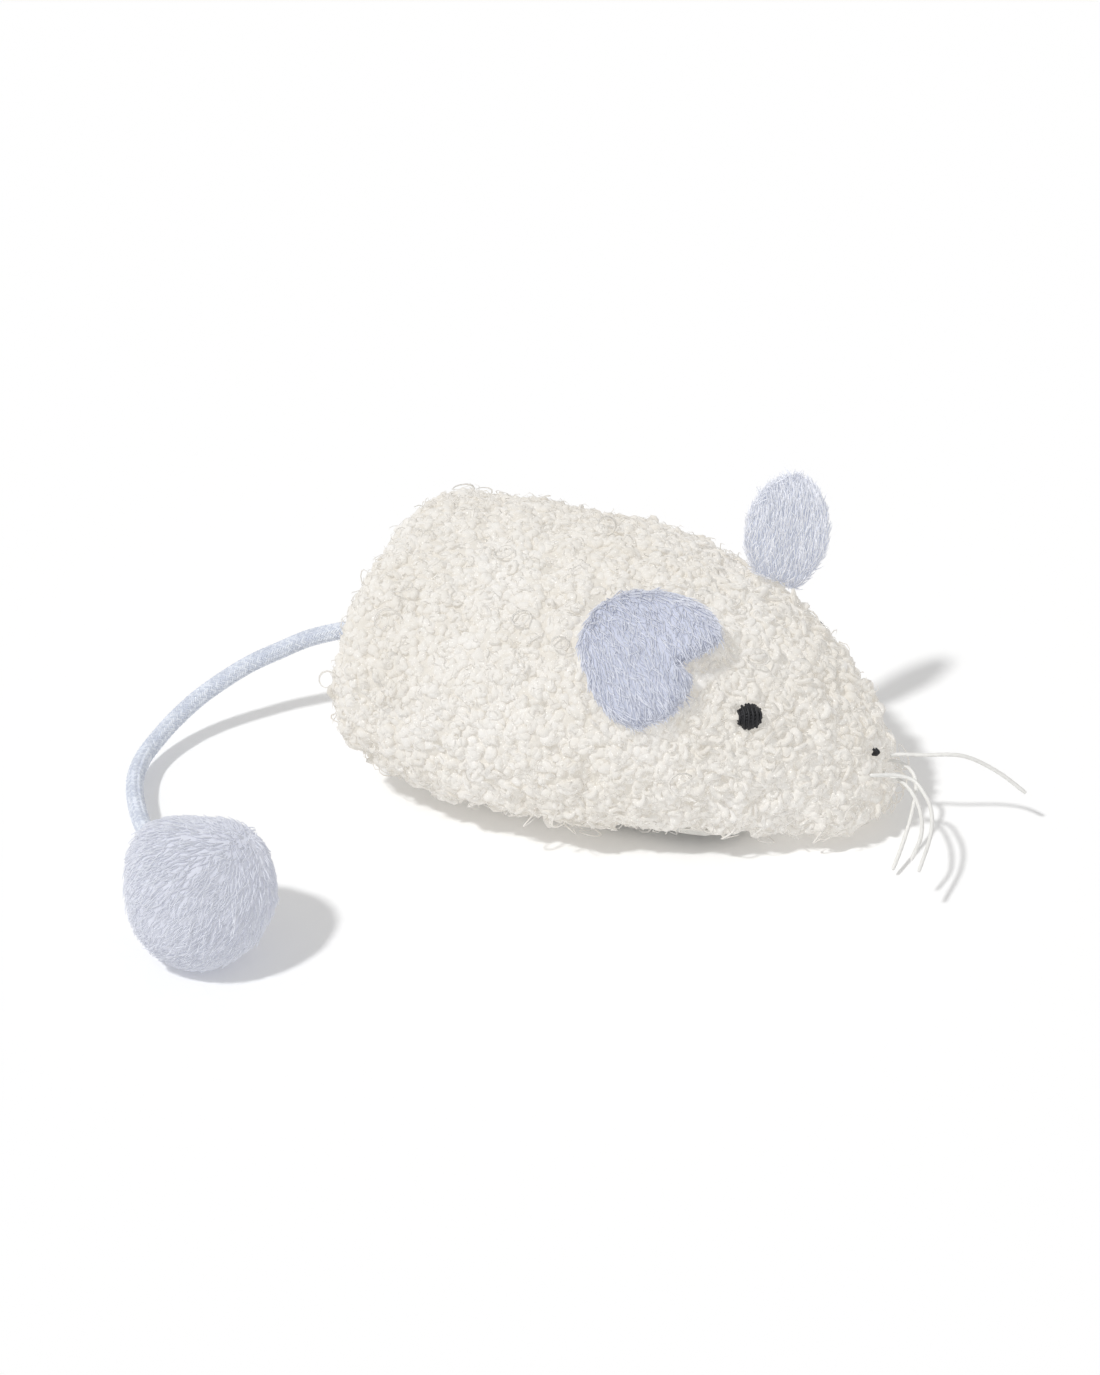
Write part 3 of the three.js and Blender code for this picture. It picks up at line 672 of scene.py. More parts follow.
boucle = {
    "seed": 11,
    "inset": 1.5 * mm,         # the backing lies this far under the fur's outer face
    "segments": (128, 72),
    "seamStep": 0.35 * mm,     # past the slit between two panels
    "probeLift": 2 * mm,       # over the round form, from where the outer face is looked for
    "tuftDepth": 6 * mm,       # and no further in than this
    "weave": 0.55 * mm,        # the backing's mesh
    "curlShare": 0.16,         # of its faces that carry a knop or a curl, on the back
    "cheekMore": 0.4,          # so much more of them on the cheeks
    "cheekStart": 55 * mm,     # behind the tip of the snout the cheeks begin
    "cheekFade": 25 * mm,      # and this much further on they are at their loosest
    "flankTop": 24 * mm,       # below this the flanks are loose as well
    "flankFade": 14 * mm,
    "flankLoose": 0.8,         # against the cheeks
    "lumpReach": 1.1 * mm,
    "lumpScale": 190.0,
    "nubWidth": 2.5 * mm,
    "nubRise": 1.5 * mm,
    "earPress": 1.6 * mm,      # the ears press the fabric down so near to them
    "earClear": 1.1 * mm,      # and nearer than this the curls are small knops
    "earTouch": 0.7 * mm,      # of that, taken up by the cloth of the ear itself
    "earKnop": 0.6,            # so much smaller they are where an ear touches
    "kinds": {                 # where each kind ends in a draw from 0 to 1, and how much later on the cheeks
        "loop": (0.006, 0), "wisp": (0.08, 0), "ring": (0.1, 0.25), "nub": (0.16, 0.3),
    },
    "lowLoops": 4,             # times as many loops under the seam
    "fuzzShare": 0.4,          # of the knops that carry a short fine hair
    "knops": 16,               # templates
    "knopSpans": ((0.85, 1.25), (0.7, 1.0), (0.5, 0.68)),    # mm: half its width, depth and height
    "knopDimple": 0.32,
    "knopWaves": 1.3,
    "curlSize": (0.9, 1.3),
    "cheekSize": 0.2,          # so much larger they are on the cheeks
    "curlLean": 0.35,
    "scatter": 0.7,            # how far from the middle of its face to a corner a curl may stand
    "sink": 0.1 * mm,          # of a curl's root in the backing
    "fuzzOut": 0.2 * mm,       # of a fine hair's root
    "fuzzSpin": 50,            # a fine hair is turned by its knop's own draw
    "lie": 0.5,                # the curls' height against their width: the pile lies down
    "openingMargin": 0.6 * mm,
    "openingCorner": 10.4 * mm,
    "openingTop": 8 * mm,
    "trayGap": 0.3 * mm,       # kept free of curls round the opening
    "trayFlat": 0.5 * mm,      # and of lumps
    "skirt": 6 * mm,           # below this a curl may hang to the floor
    "floorGap": 1.3 * mm,      # no curl hangs lower
    "seamGap": 0.15 * mm,
    "noises": [(55.0, 3.0, 1.1), (900.0, 3.0, 0.6)],
    # tipShare paints the curls darker and warmer towards their roots: painted shade in the pile
    "marks": {"tipShare": 0.3, "lockTone": 0.3, "strandShare": -0.1},
}
ringForms = {    # how many; turns; outer and inner radius and rise in mm; tilt; thickness in mm; steps; sides
    "ring": (12, (0.95, 1.25), (0.95, 1.25), (0.4, 0.6), (0.6, 1.2), (-0.4, 0.4), (0.46, 0.58), 9, 5),
    "nub": (12, (0.95, 1.25), (0.7, 0.95), (0.2, 0.35), (0.6, 1.2), (-0.5, 0.5), (0.36, 0.46), 7, 5),
    "wisp": (8, (0.5, 0.9), (0.8, 1.4), (0.6, 1.2), (1.0, 1.7), (-0.8, 0.8), (0.06, 0.1), 6, 3),
    "loop": (8, (0.9, 1.5), (1.5, 2.3), (0.9, 1.5), (3.0, 4.6), (-1.2, 1.2), (0.15, 0.22), 14, 3),
    "fuzz": (10, (0.3, 0.6), (0.8, 1.3), (0.6, 1.0), (0.5, 1.0), (-0.4, 0.4), (0.06, 0.08), 3, 3),
}
bodyNodes = ("body_panel_right", "body_panel_left", "belly_panel")
sideLow, sideHigh = nodeBox("body_panel_right")
bellyLow, bellyHigh = nodeBox("belly_panel")
chassisLow, chassisHigh = nodeBox("chassis_base")
seamHeight = (sideLow.z + bellyHigh.z) / 2
middleX = (sideLow.x + sideHigh.x) / 2
bodyMiddle = Vector((middleX, 0, (bellyLow.z + sideHigh.z) / 2))
bodyReach = Vector(((sideHigh.x - sideLow.x) / 2, -sideLow.y, (sideHigh.z - bellyLow.z) / 2))


def underEar(point, reach):
    # how far short of the reach the nearest ear is
    return max(0, *(reach - tree.find_nearest(point)[3] for tree in earTrees))


def bodyHull():
    bm = nodeForm(*bodyNodes)
    hull = bmesh.ops.convex_hull(bm, input=bm.verts, use_existing_faces=False)
    keep = {g for g in hull["geom"] if isinstance(g, bmesh.types.BMFace)}
    bmesh.ops.delete(bm, geom=[f for f in bm.faces if f not in keep], context="FACES")
    return bm


def treeOf(bm):
    tree = BVHTree.FromBMesh(bm)
    bm.free()
    return tree


def chassisHole():
    # the room that the tray and its rim take out of the belly
    bm = bmesh.new()
    bmesh.ops.create_cube(bm, size=1)
    size = chassisHigh - chassisLow + Vector((2, 2, 0)) * boucle["openingMargin"]
    size.z = 2 * boucle["openingTop"]
    bmesh.ops.scale(bm, vec=size, verts=bm.verts)
    bmesh.ops.translate(bm, vec=((chassisLow.x + chassisHigh.x) / 2, 0, 0), verts=bm.verts)
    upright = [e for e in bm.edges if abs(e.verts[0].co.z - e.verts[1].co.z) > size.z / 2]
    bmesh.ops.bevel(bm, geom=upright, offset=boucle["openingCorner"], segments=6, profile=0.5, affect="EDGES")
    return addObject("chassisHole", finishMesh(bm, "chassisHole", smooth=False))


def bodyBacking():
    # a round form set on the fur's outer face, drawn in, opened for the chassis and woven evenly
    hullTree = treeOf(bodyHull())
    skinTree = treeOf(nodeForm(*bodyNodes))
    bm = bmesh.new()
    bmesh.ops.create_uvsphere(bm, u_segments=boucle["segments"][0], v_segments=boucle["segments"][1], radius=1)
    bmesh.ops.rotate(bm, verts=bm.verts, matrix=Matrix.Rotation(math.pi / 2, 3, "Y"))
    for vert in bm.verts:
        outward = (vert.co * bodyReach).normalized()
        spot = hullTree.ray_cast(bodyMiddle, outward)[0]
        aside = Vector((0, 1 if spot.y > 0 else -1, 1)) * boucle["seamStep"]
        found, _, _, depth = skinTree.ray_cast(spot + outward * boucle["probeLift"] + aside, -outward)
        vert.co = found - aside if found and depth < boucle["tuftDepth"] else spot
    drawIn(bm, boucle["inset"])
    return woven(cutAway(bm, "backing", chassisHole()), "backing", boucle["weave"], 1)


def raiseNubs(bm):
    # the lumps of the curly ground, pressed down where an ear lies on them
    for vert in bm.verts:
        if not inChassis(vert.co, boucle["trayFlat"]):
            lump = noise.noise(vert.co * boucle["lumpScale"]) * boucle["lumpReach"]
            near = noise.voronoi(vert.co / boucle["nubWidth"])[0][0]
            rise = lump + (0.5 - near * near) * boucle["nubRise"]
            vert.co += vert.normal * (rise - underEar(vert.co, boucle["earPress"]))
    bm.normal_update()


def inChassis(point, margin):
    # within the opening for the tray, which has rounded corners
    if point.z > boucle["openingTop"] + margin:
        return False
    middle = (chassisLow + chassisHigh) / 2
    straight = (chassisHigh - chassisLow) / 2 - Vector.Fill(3, boucle["openingCorner"])
    beyondX = max(0, abs(point.x - middle.x) - straight.x)
    beyondY = max(0, abs(point.y - middle.y) - straight.y)
    return math.hypot(beyondX, beyondY) < boucle["openingCorner"] + margin


def boucleFinish(name, base, fuzz):
    # the strong steady emission is painted light, which also lifts the shade between the curls
    fibre = Finish(
        name, Roughness=0.92, Specular_IOR_Level=0.2, Sheen_Weight=0.25, Sheen_Roughness=0.5, Emission_Strength=0.65,
    )
    tone = fibre.tone(base, boucle["noises"], boucle["marks"])
    warm = fibre.blend(tone, colour(186, 182, 175), colour(197, 195, 192))
    glintSpeck = ((fibre.noise(3300.0, 1.0) - 0.66) * 9.0).clamped()    # a few fibres, glossier, with a painted highlight: their glint is painted into the colour
    fibre.feedFibre(fibre.blend(glintSpeck * 0.7, warm, colour(232, 231, 228)))
    fibre.relief(fibre.noise(1500.0, 4.0, 0.6), 0.5, fuzz)
    fibre.feed("Roughness", 0.95 - glintSpeck * 0.4)
    return fibre.owner


def ringCurl(turns, outer, inner, rise, tilt, thick, tone, steps, sides):
    # a lock that stands up from its root and rolls into a ring
    points = []
    radii = []
    for i in range(steps + 1):
        share = i / steps
        angle = 2 * math.pi * turns * share
        reach = outer + (inner - outer) * share
        lift = rise * math.sin(share * math.pi * 0.7)
        points.append(Vector((reach * math.cos(angle) - outer / 2, reach * math.sin(angle), lift)) * mm)
        swell = 0.7 + 0.5 * math.sin(math.pi * min(1, share * 1.2))    # thickest near its middle
        radii.append(thick * mm * swell * (1 - 0.75 * share ** 3))     # and drawn out at its tip
    lean = Matrix.Rotation(tilt, 3, "Y")
    return strandTemplate([lean @ p for p in points], radii, tone, sides)


def knopForm(width, depth, height, tone, offset):
    # a knop of yarn: a small soft lump, dimpled all over
    bm = bmesh.new()
    bmesh.ops.create_icosphere(bm, subdivisions=2, radius=1)
    for vert in bm.verts:
        vert.co *= 1 + boucle["knopDimple"] * noise.noise(vert.co * boucle["knopWaves"] + offset)
    bmesh.ops.scale(bm, vec=Vector((width, depth, height)) * mm, verts=bm.verts)
    writeTones(bm, height * mm, tone, 0)
    return finishMesh(bm, "knop")


def curlTemplates():
    shuffle = random.Random(boucle["seed"])
    made = {"knop": []}

    def drawn(spans):
        return [shuffle.uniform(*span) for span in (*spans, (0, 1))]    # with the lock's own tone

    for _ in range(boucle["knops"]):
        offset = Vector(shuffle.uniform(0, 50) for _ in range(3))
        made["knop"].append(knopForm(*drawn(boucle["knopSpans"]), offset))
    for kind, (count, *spans, steps, sides) in ringForms.items():
        made[kind] = [ringCurl(*drawn(spans), steps, sides) for _ in range(count)]
    return made


def facePoints(bm, shuffle, accept):
    # one place on each face, a little off its middle
    for face in bm.faces:
        middle = face.calc_center_median()
        if not accept(middle):
            continue
        corner = shuffle.choice(face.verts[:]).co
        yield middle.lerp(corner, shuffle.random() * boucle["scatter"]), face.normal.copy()


def standOn(point, normal, spin, size):
    turn = normal.to_track_quat("Z", "Y").to_matrix().to_4x4()
    return Matrix.Translation(point) @ turn @ Matrix.Rotation(spin, 4, "Z") @ Matrix.Scale(size, 4)


padClear = {"eye_right": 2.25 * mm, "eye_left": 1.8 * mm, "nose_stitch": 0.4 * mm}
padMiddles = {node: nodeMiddle(node) for node in padClear}
padMiddles["eye_left"] += Vector((-0.2, 1.3, -3.4)) * mm   # this one has slipped down a little under the curls


def overPad(point):
    return any((point - middle).length < padClear[node] for node, middle in padMiddles.items())


def cheekShare(point):
    # 1 on the cheeks and low on the flanks, where the curls are loose, and 0 on the back
    cheek = (point.x - (sideHigh.x - boucle["cheekStart"])) / boucle["cheekFade"]
    flank = (boucle["flankTop"] - point.z) / boucle["flankFade"]
    return min(1, max(0, cheek, flank * boucle["flankLoose"]))


def makePanel(name, cuts, nodes):
    # one cut of fabric, closed where it is sewn to its neighbours
    bm = backing.copy()
    for place, normal in cuts:
        geom = bm.verts[:] + bm.edges[:] + bm.faces[:]
        bmesh.ops.bisect_plane(bm, geom=geom, plane_co=place, plane_no=normal, clear_outer=True)
        bmesh.ops.holes_fill(bm, edges=[e for e in bm.edges if e.is_boundary], sides=0)
    panel = makePiece(name, finishMesh(bm, name), "toy", backingMaterial, replaces=nodes)


def makeCurls(name, accept, seed):
    shuffle = random.Random(seed)
    bm = bmesh.new()
    planted = 0
    for point, normal in facePoints(backing, shuffle, accept):
        draw = shuffle.random()
        loose = cheekShare(point)
        share = boucle["curlShare"] * (1 + boucle["cheekMore"] * loose)
        if draw > share or inChassis(point, boucle["trayGap"]) or overPad(point):
            continue
        pressed = underEar(point, boucle["earClear"])
        if pressed > boucle["earTouch"]:
            continue
        draw /= share
        ends = {kind: end + later * loose for kind, (end, later) in boucle["kinds"].items()}
        ends["loop"] *= boucle["lowLoops"] if point.z < seamHeight else 1
        kind = "knop" if pressed else next((kind for kind, end in ends.items() if draw < end), "knop")
        template = shuffle.choice(curls[kind])
        lean = Vector(shuffle.gauss(0, boucle["curlLean"]) for _ in range(3))
        stand = (normal + lean).normalized()
        size = shuffle.uniform(*boucle["curlSize"]) * (1 + boucle["cheekSize"] * loose)
        size *= 1 - boucle["earKnop"] * pressed / boucle["earTouch"]
        matrix = standOn(point - normal * boucle["sink"], stand, shuffle.uniform(0, 2 * math.pi), size)
        if kind != "knop":
            matrix = matrix @ Matrix.Diagonal((1.0, 1.0, boucle["lie"], 1.0))
        if point.z < boucle["skirt"] and lowest(template, matrix) < boucle["floorGap"]:
            continue
        plant(bm, template, matrix)
        planted += 1
        if kind == "knop" and shuffle.random() < boucle["fuzzShare"]:
            root = point + normal * boucle["fuzzOut"]
            plant(bm, shuffle.choice(curls["fuzz"]), standOn(root, stand, draw * boucle["fuzzSpin"], size))
    mesh = finishMesh(bm, name)
    makePiece(name, mesh, "toy", boucleMaterial)
    print(name, planted, "curls,", triangles(mesh), "triangles")


backing = bodyBacking()
coverTree = BVHTree.FromBMesh(backing)
earForms = {
    "right": plushForm("earRight", flatEar(), layEar),
    "left": plushForm("earLeft", nodeForm("ear_left")),
}
earTrees = [BVHTree.FromBMesh(form) for form in earForms.values()]
raiseNubs(backing)
furTree = BVHTree.FromBMesh(backing)
print("backing made:", len(backing.faces), "faces")
boucleMaterial = boucleFinish("boucleFibre", -0.75, 0.12 * mm)
# the backing, lower in tone than the curls, is painted a little darker: painted shade under them
backingMaterial = boucleFinish("boucleBacking", -0.8, 0.3 * mm)
curls = curlTemplates()
seamGap = boucle["seamGap"]
above = ((0, 0, seamHeight + seamGap), (0, 0, -1))
below = ((0, 0, seamHeight - seamGap), (0, 0, 1))
makePanel("bodyPanelRight", [((0, -seamGap, 0), (0, 1, 0)), above], ("body_panel_right", "stuffing"))
makePanel("bodyPanelLeft", [((0, seamGap, 0), (0, -1, 0)), above], ("body_panel_left",))
makePanel("bellyPanel", [below], ("belly_panel",))
patchX = bodyReach.x / 3
curlPatches = {
    "Rear": lambda p: p.x <= middleX - patchX,
    "Middle": lambda p: middleX - patchX < p.x <= middleX + patchX,
    "Front": lambda p: p.x > middleX + patchX,
}
for index, (name, accept) in enumerate(curlPatches.items()):
    makeCurls("curlsRight" + name, lambda p: accept(p) and p.z > seamHeight and p.y <= 0, 100 + index)
    makeCurls("curlsLeft" + name, lambda p: accept(p) and p.z > seamHeight and p.y > 0, 110 + index)
makeCurls("curlsBellyRear", lambda p: p.z <= seamHeight and p.x <= middleX, 120)
makeCurls("curlsBellyFront", lambda p: p.z <= seamHeight and p.x > middleX, 121)
backing.free()


hairs = hairTemplates(21)
ballMiddle = nodeMiddle("tail_ball_cover")
plushMaterial = plushFinish("plushPile", (186, 190, 204), (226, 228, 236))
# the ball's pile: a narrow range of tones and a strong steady emission, painted light that flattens its shade
plushBrushedGlow = plushFinish("plushBrushedGlow", (192, 194, 203), (205, 207, 214), glow=0.4)
# the standing ear's pile and cloth: a lighter copy of the pile with more emission, painted light
plushPaintedLight = plushFinish("plushPaintedLight", (196, 200, 211), (242, 243, 248), glow=0.28)
plushDeep = plushFinish("plushCloth", (196, 200, 214), (226, 229, 238), base=-0.7)
makePlush("earRight", earForms["right"], (0.5, -0.3, -0.5), 0.85, 31, ("ear_right",), plushMaterial, plushDeep)
makePlush("earLeft", earForms["left"], (-0.1, 0.1, 1.0), 0.85, 32, ("ear_left",), plushPaintedLight, plushPaintedLight)
ballCloth, ballPile = makePlush(
    "tailBall", plushForm("tailBall", nodeForm("tail_ball_cover"), gatherBall), (-0.55, -0.25, -0.8), 0.5, 33,
    ("tail_ball_cover", "tail_ball_filling"), plushBrushedGlow, plushBrushedGlow,
)
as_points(tailLine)
print("ears and ball made")


# ---- stitched eyes and nose ----

stitch = {
    "radius": 0.27 * mm,
    "eyeWidth": 2.25 * mm,
    "eyeLayers": ((0.0, 9, 0.0), (1.1, 6, 0.25)),   # turn, rows and height in mm of the two layers of stitches
    "eyeEdge": 0.86,             # how far out the last row lies
    "uneven": (0.9, 1.12),
    "waver": 0.12 * mm,
    "eyeRise": 1.0 * mm,
    "dip": 0.5 * mm,             # where a stitch enters the cloth
    "noseLengths": (1.6, 1.0),   # mm, side by side
    "noseStep": 0.55 * mm,
    "noseFan": 0.5,
    "noseRise": (0.55, 1.1),     # mm: of a stitch's middle, and how much lower its ends are
}


def threadFinish():
    silk = Finish("blackSilk", Roughness=0.42, Specular_IOR_Level=0.4)
    fine = silk.noise(1900.0, 2.0)
    silk.feed("Base Color", silk.blend(fine, colour(8, 8, 10), colour(32, 32, 37)))
    silk.feed("Roughness", 0.3 + fine * 0.35)
    silk.relief(silk.noise(5200.0, 2.0), 0.5, 0.06 * mm)
    return silk.owner


def padStand(node):
    # the middle of a stitched pad, turned to look out of the fur
    middle = padMiddles[node]
    outward = furTree.find_nearest(middle)[1]
    return Matrix.Translation(middle) @ outward.to_track_quat("Z", "Y").to_matrix().to_4x4()


def makeEye(node, spin):
    name = camelCase(node)
    stand = padStand(node) @ Matrix.Rotation(spin, 4, "Z")
    width = stitch["eyeWidth"]
    shuffle = random.Random(name)
    lines = []
    for turn, rows, raised in stitch["eyeLayers"]:
        for row in range(rows):
            off = width * stitch["eyeEdge"] * (2 * row / (rows - 1) - 1)
            half = math.sqrt(width * width - off * off) * shuffle.uniform(*stitch["uneven"])
            line = []
            for k in range(9):
                along = half * (k / 4 - 1)
                low = min(1, (along * along + off * off) / (width * width))
                rise = stitch["eyeRise"] * (1 - low) + raised * mm - (stitch["dip"] if k in (0, 8) else 0)
                spot = Matrix.Rotation(turn, 3, "Z") @ Vector((along, off + stitch["waver"] * math.sin(k), 0))
                line.append(stand @ Vector((spot.x, spot.y, rise)))
            lines.append(line)
    bm = bmesh.new()
    bm.from_mesh(curveMesh(name, lines, stitch["radius"]))
    pad = stand @ Matrix.Diagonal((width, width, stitch["eyeRise"], 1))    # the stitches lie over it
    bmesh.ops.create_uvsphere(bm, u_segments=16, v_segments=8, radius=1, matrix=pad)
    makePiece(name, finishMesh(bm, name), "toy", silkMaterial, replaces=(node,))


def makeNose():
    stand = padStand("nose_stitch")
    top, drop = stitch["noseRise"]
    lines = []
    for row, length in enumerate(stitch["noseLengths"]):
        off = (row - 0.5) * stitch["noseStep"]
        fan = Matrix.Rotation((0.5 - row) * stitch["noseFan"], 3, "Z")
        line = []
        for k in range(7):
            share = k / 3 - 1
            spot = fan @ Vector((off, share * length * mm / 2, 0))
            line.append(stand @ Vector((spot.x, spot.y, (top - drop * share * share) * mm)))
        lines.append(line)
    mesh = curveMesh("noseStitches", lines, stitch["radius"])
    makePiece("noseStitches", mesh, "toy", silkMaterial, replaces=("nose_stitch",))


silkMaterial = threadFinish()
makeEye("eye_right", 0.5)
makeEye("eye_left", -0.5)
makeNose()
print("eyes and nose stitched")


# ---- whiskers ----

whisker = {
    "root": (42.0, 0.0, 4.0),   # mm: the tip of the snout, and the height that the threads are measured from
    "reach": 23.0,
    "plies": 3,
    "plyRadius": 0.34 * mm,
    "plyOffset": 0.07 * mm,
    "pitch": 5.2 * mm,
    "spacing": 0.45 * mm,
    "close": (0.6, 3),          # the plies part over so many steps from an end
    "endRadius": (0.8, 0.1),    # the share of a ply's radius there, and how much more with each step
    "upper": [
        (1, 0.452, 0.15), (0.77, 0.388, 0.339), (0.501, 0.261, 0.509), (0.213, 0.138, 0.522), (-0.07, 0.04, 0.504),
        (-0.2, -0.11, 0.45), (-0.122, -0.273, 0.496), (-0.035, -0.224, 0.487), (0.06, -0.173, 0.478),
        (0.209, -0.151, 0.452), (0.346, -0.25, 0.404), (0.454, -0.419, 0.391), (0.539, -0.67, 0.348),
        (0.582, -1.1, 0.261),
    ],
    "lower": [
        (0.232, -0.663, -0.1), (0.232, -0.397, 0.022), (0.22, -0.17, 0.152), (0.172, 0.06, 0.283), (0.09, 0.14, 0.35),
        (-0.05, 0.13, 0.4), (-0.18, 0, 0.38), (-0.04, -0.102, 0.42), (0.108, -0.131, 0.4), (0.254, -0.257, 0.38),
        (0.395, -0.49, 0.36), (0.475, -0.74, 0.328), (0.475, -0.969, 0.261),
    ],
}


def waxedFinish():
    wax = Finish("waxedThread", Roughness=0.45, Specular_IOR_Level=0.5, Coat_Weight=0.15, Coat_Roughness=0.35)
    patch = wax.noise(300.0, 3.0)
    wax.feed("Base Color", wax.blend(patch, colour(226, 225, 221), colour(244, 243, 240)))
    wax.relief(wax.noise(4200.0, 2.0), 0.3, 0.05 * mm)
    return wax.owner


def makeWhisker(which):
    node = "whisker_thread_" + which
    root = Vector(whisker["root"])
    points = [(root + Vector(share) * whisker["reach"]) * mm for share in whisker[which]]
    path, length = evenPath(smoothPath(points, 10), whisker["spacing"])
    stances = pathStances(path)
    last = len(path) - 1
    fromEnd = [min(i, last - i) for i in range(last + 1)]
    begin, apart = whisker["close"]
    least, more = whisker["endRadius"]
    lines = []
    for ply in range(whisker["plies"]):
        line = []
        for i, stance in enumerate(stances):
            angle = 2 * math.pi * (i * length / last / whisker["pitch"] + ply / whisker["plies"])
            offset = whisker["plyOffset"] * min(1, (fromEnd[i] + begin) / apart)
            line.append(besidePath(stance, angle, offset))
        lines.append(line)
    radii = [min(1, least + more * steps) for steps in fromEnd]
    mesh = curveMesh(node, lines, whisker["plyRadius"], radii=radii)
    makePiece(camelCase(node), mesh, "toy", waxMaterial, replaces=(node,))


waxMaterial = waxedFinish()
makeWhisker("upper")
makeWhisker("lower")
print("whiskers made")


# ---- knots on the cord's two ends ----

knot = {"steps": 60, "shares": (0.5, 0.62 / 3, 0.62 / 3), "thick": 0.34}   # of half its solid's size


def makeKnot(node, name):
    # an overhand knot pulled into the room of its solid
    low, high = nodeBox(node)
    reach = (high - low) / 2
    line = []
    for k in range(knot["steps"]):
        t = 2 * math.pi * k / knot["steps"]
        turn = Vector((-math.sin(3 * t), math.sin(t) + 2 * math.sin(2 * t), math.cos(t) - 2 * math.cos(2 * t)))
        line.append((low + high) / 2 + turn * reach * Vector(knot["shares"]))
    line.append(line[0])
    mesh = curveMesh(name, [line], min(reach) * knot["thick"], sides=2)
    makePiece(name, mesh, "toy", tailBraid.data.materials[0], replaces=(node,))


makeKnot("tail_root_knot", "rootKnot")
makeKnot("tail_end_knot", "endKnot")


# ---- chassis, wheels and screws ----

rolling = {
    "steps": 60,
    "axleSteps": 40,
    "edge": 0.16 * mm,       # taken off the sharp edges
    "sharp": 0.5,            # the angle from which an edge counts as sharp
    "flat": 0.02,            # and up to which the tray's faces are made one
    "bore": 1.25, "hub": 2.8, "rimInside": 5.6, "channel": 6.7, "lip": 7.9,     # mm: the wheel's radii
    "web": 0.75, "face": 3.25, "lipWidth": 0.9,                                 # and its widths
    "tyreInside": 6.9, "tyreHalf": 2.05, "shoulder": 0.5, "crown": 0.12,
    "shoulderWidth": 0.7, "crownWidth": 0.3,                                    # shares of tyreHalf
    "lugs": 30,
    "grooveDepth": 0.42 * mm,
}
screw = {    # mm
    "steps": 32,
    "headHeight": 1.1, "neckEnd": 1.4,
    "threadRadius": 1.1, "coreRadius": 0.85, "pointRadius": 0.7,
    "threads": 7, "threadStart": 1.7, "pitch": 0.8, "flank": 0.4,
    "pointLength": 0.5,
    "recess": (0.62, 2.5, 0.9),     # width, length and depth of the cross in the head
}


def mouldedFinish():
    cast = Finish("mattMoulding", Roughness=0.5, Specular_IOR_Level=0.5)
    patch = cast.noise(90.0, 3.0)
    grain = cast.noise(4200.0, 2.0)
    cast.feed("Base Color", cast.blend(patch, colour(222, 221, 216), colour(234, 233, 229)))
    cast.feed("Roughness", 0.42 + grain * 0.25)
    cast.relief(grain, 0.35, 0.04 * mm)
    return cast.owner


def tyreFinish():
    soft = Finish("softTyre", Roughness=0.8, Specular_IOR_Level=0.35)
    dust = soft.noise(240.0, 4.0, 0.6)
    soft.feed("Base Color", soft.blend((dust * 1.6 - 0.5).clamped(), colour(84, 87, 93), colour(112, 114, 118)))
    soft.feed("Roughness", 0.7 + dust * 0.25)
    soft.relief(soft.noise(3600.0, 2.0), 0.3, 0.05 * mm)
    return soft.owner


def steelFinish():
    drawn = Finish("drawnSteel", Metallic=1.0, Roughness=0.3)
    streak = drawn.noise(900.0, 3.0)
    drawn.feed("Base Color", drawn.blend(streak, colour(176, 179, 183), colour(204, 206, 209)))
    drawn.feed("Roughness", 0.22 + streak * 0.2)
    return drawn.owner


def turnedForm(profile, middle, steps):
    # a profile of radius and width in mm, spun round the axle's line
    bm = bmesh.new()
    verts = [bm.verts.new(Vector((radius, width, 0)) * mm) for radius, width in profile]
    edges = [bm.edges.new(pair) for pair in zip(verts, verts[1:])]
    if profile[0][0] > 0:
        edges.append(bm.edges.new((verts[-1], verts[0])))
    bmesh.ops.spin(bm, geom=verts + edges, axis=(0, 1, 0), angle=2 * math.pi, steps=steps, use_merge=True)
    bmesh.ops.remove_doubles(bm, verts=bm.verts, dist=0.002 * mm)
    bmesh.ops.recalc_face_normals(bm, faces=bm.faces)
    roundEdges(bm)
    bmesh.ops.translate(bm, vec=middle, verts=bm.verts)
    return bm


def roundEdges(bm):
    sharp = [e for e in bm.edges if len(e.link_faces) == 2 and e.calc_face_angle(0) > rolling["sharp"]]
    bmesh.ops.bevel(
        bm, geom=sharp, offset=rolling["edge"], segments=2, profile=0.5, affect="EDGES", clamp_overlap=True,
    )


def mirroredProfile(half):
    # out over one face, in along the other and back through the bore
    return half + [(radius, -width) for radius, width in reversed(half)]


def makeHard(bm, node, name, body, material):
    makePiece(name, finishMesh(bm, name, smooth=False), body, material, replaces=(node,))


def makeWheel(node, body):
    r = rolling
    half = [
        (r["bore"], r["face"]), (r["hub"], r["face"]), (r["hub"], r["web"]), (r["rimInside"], r["web"]),
        (r["rimInside"], r["face"]), (r["lip"], r["face"]), (r["lip"], r["face"] - r["lipWidth"]),
        (r["channel"], r["face"] - r["lipWidth"]),
    ]
    bm = turnedForm(mirroredProfile(half), nodeMiddle(node), r["steps"])
    makeHard(bm, node, camelCase(node), body, mouldingMaterial)


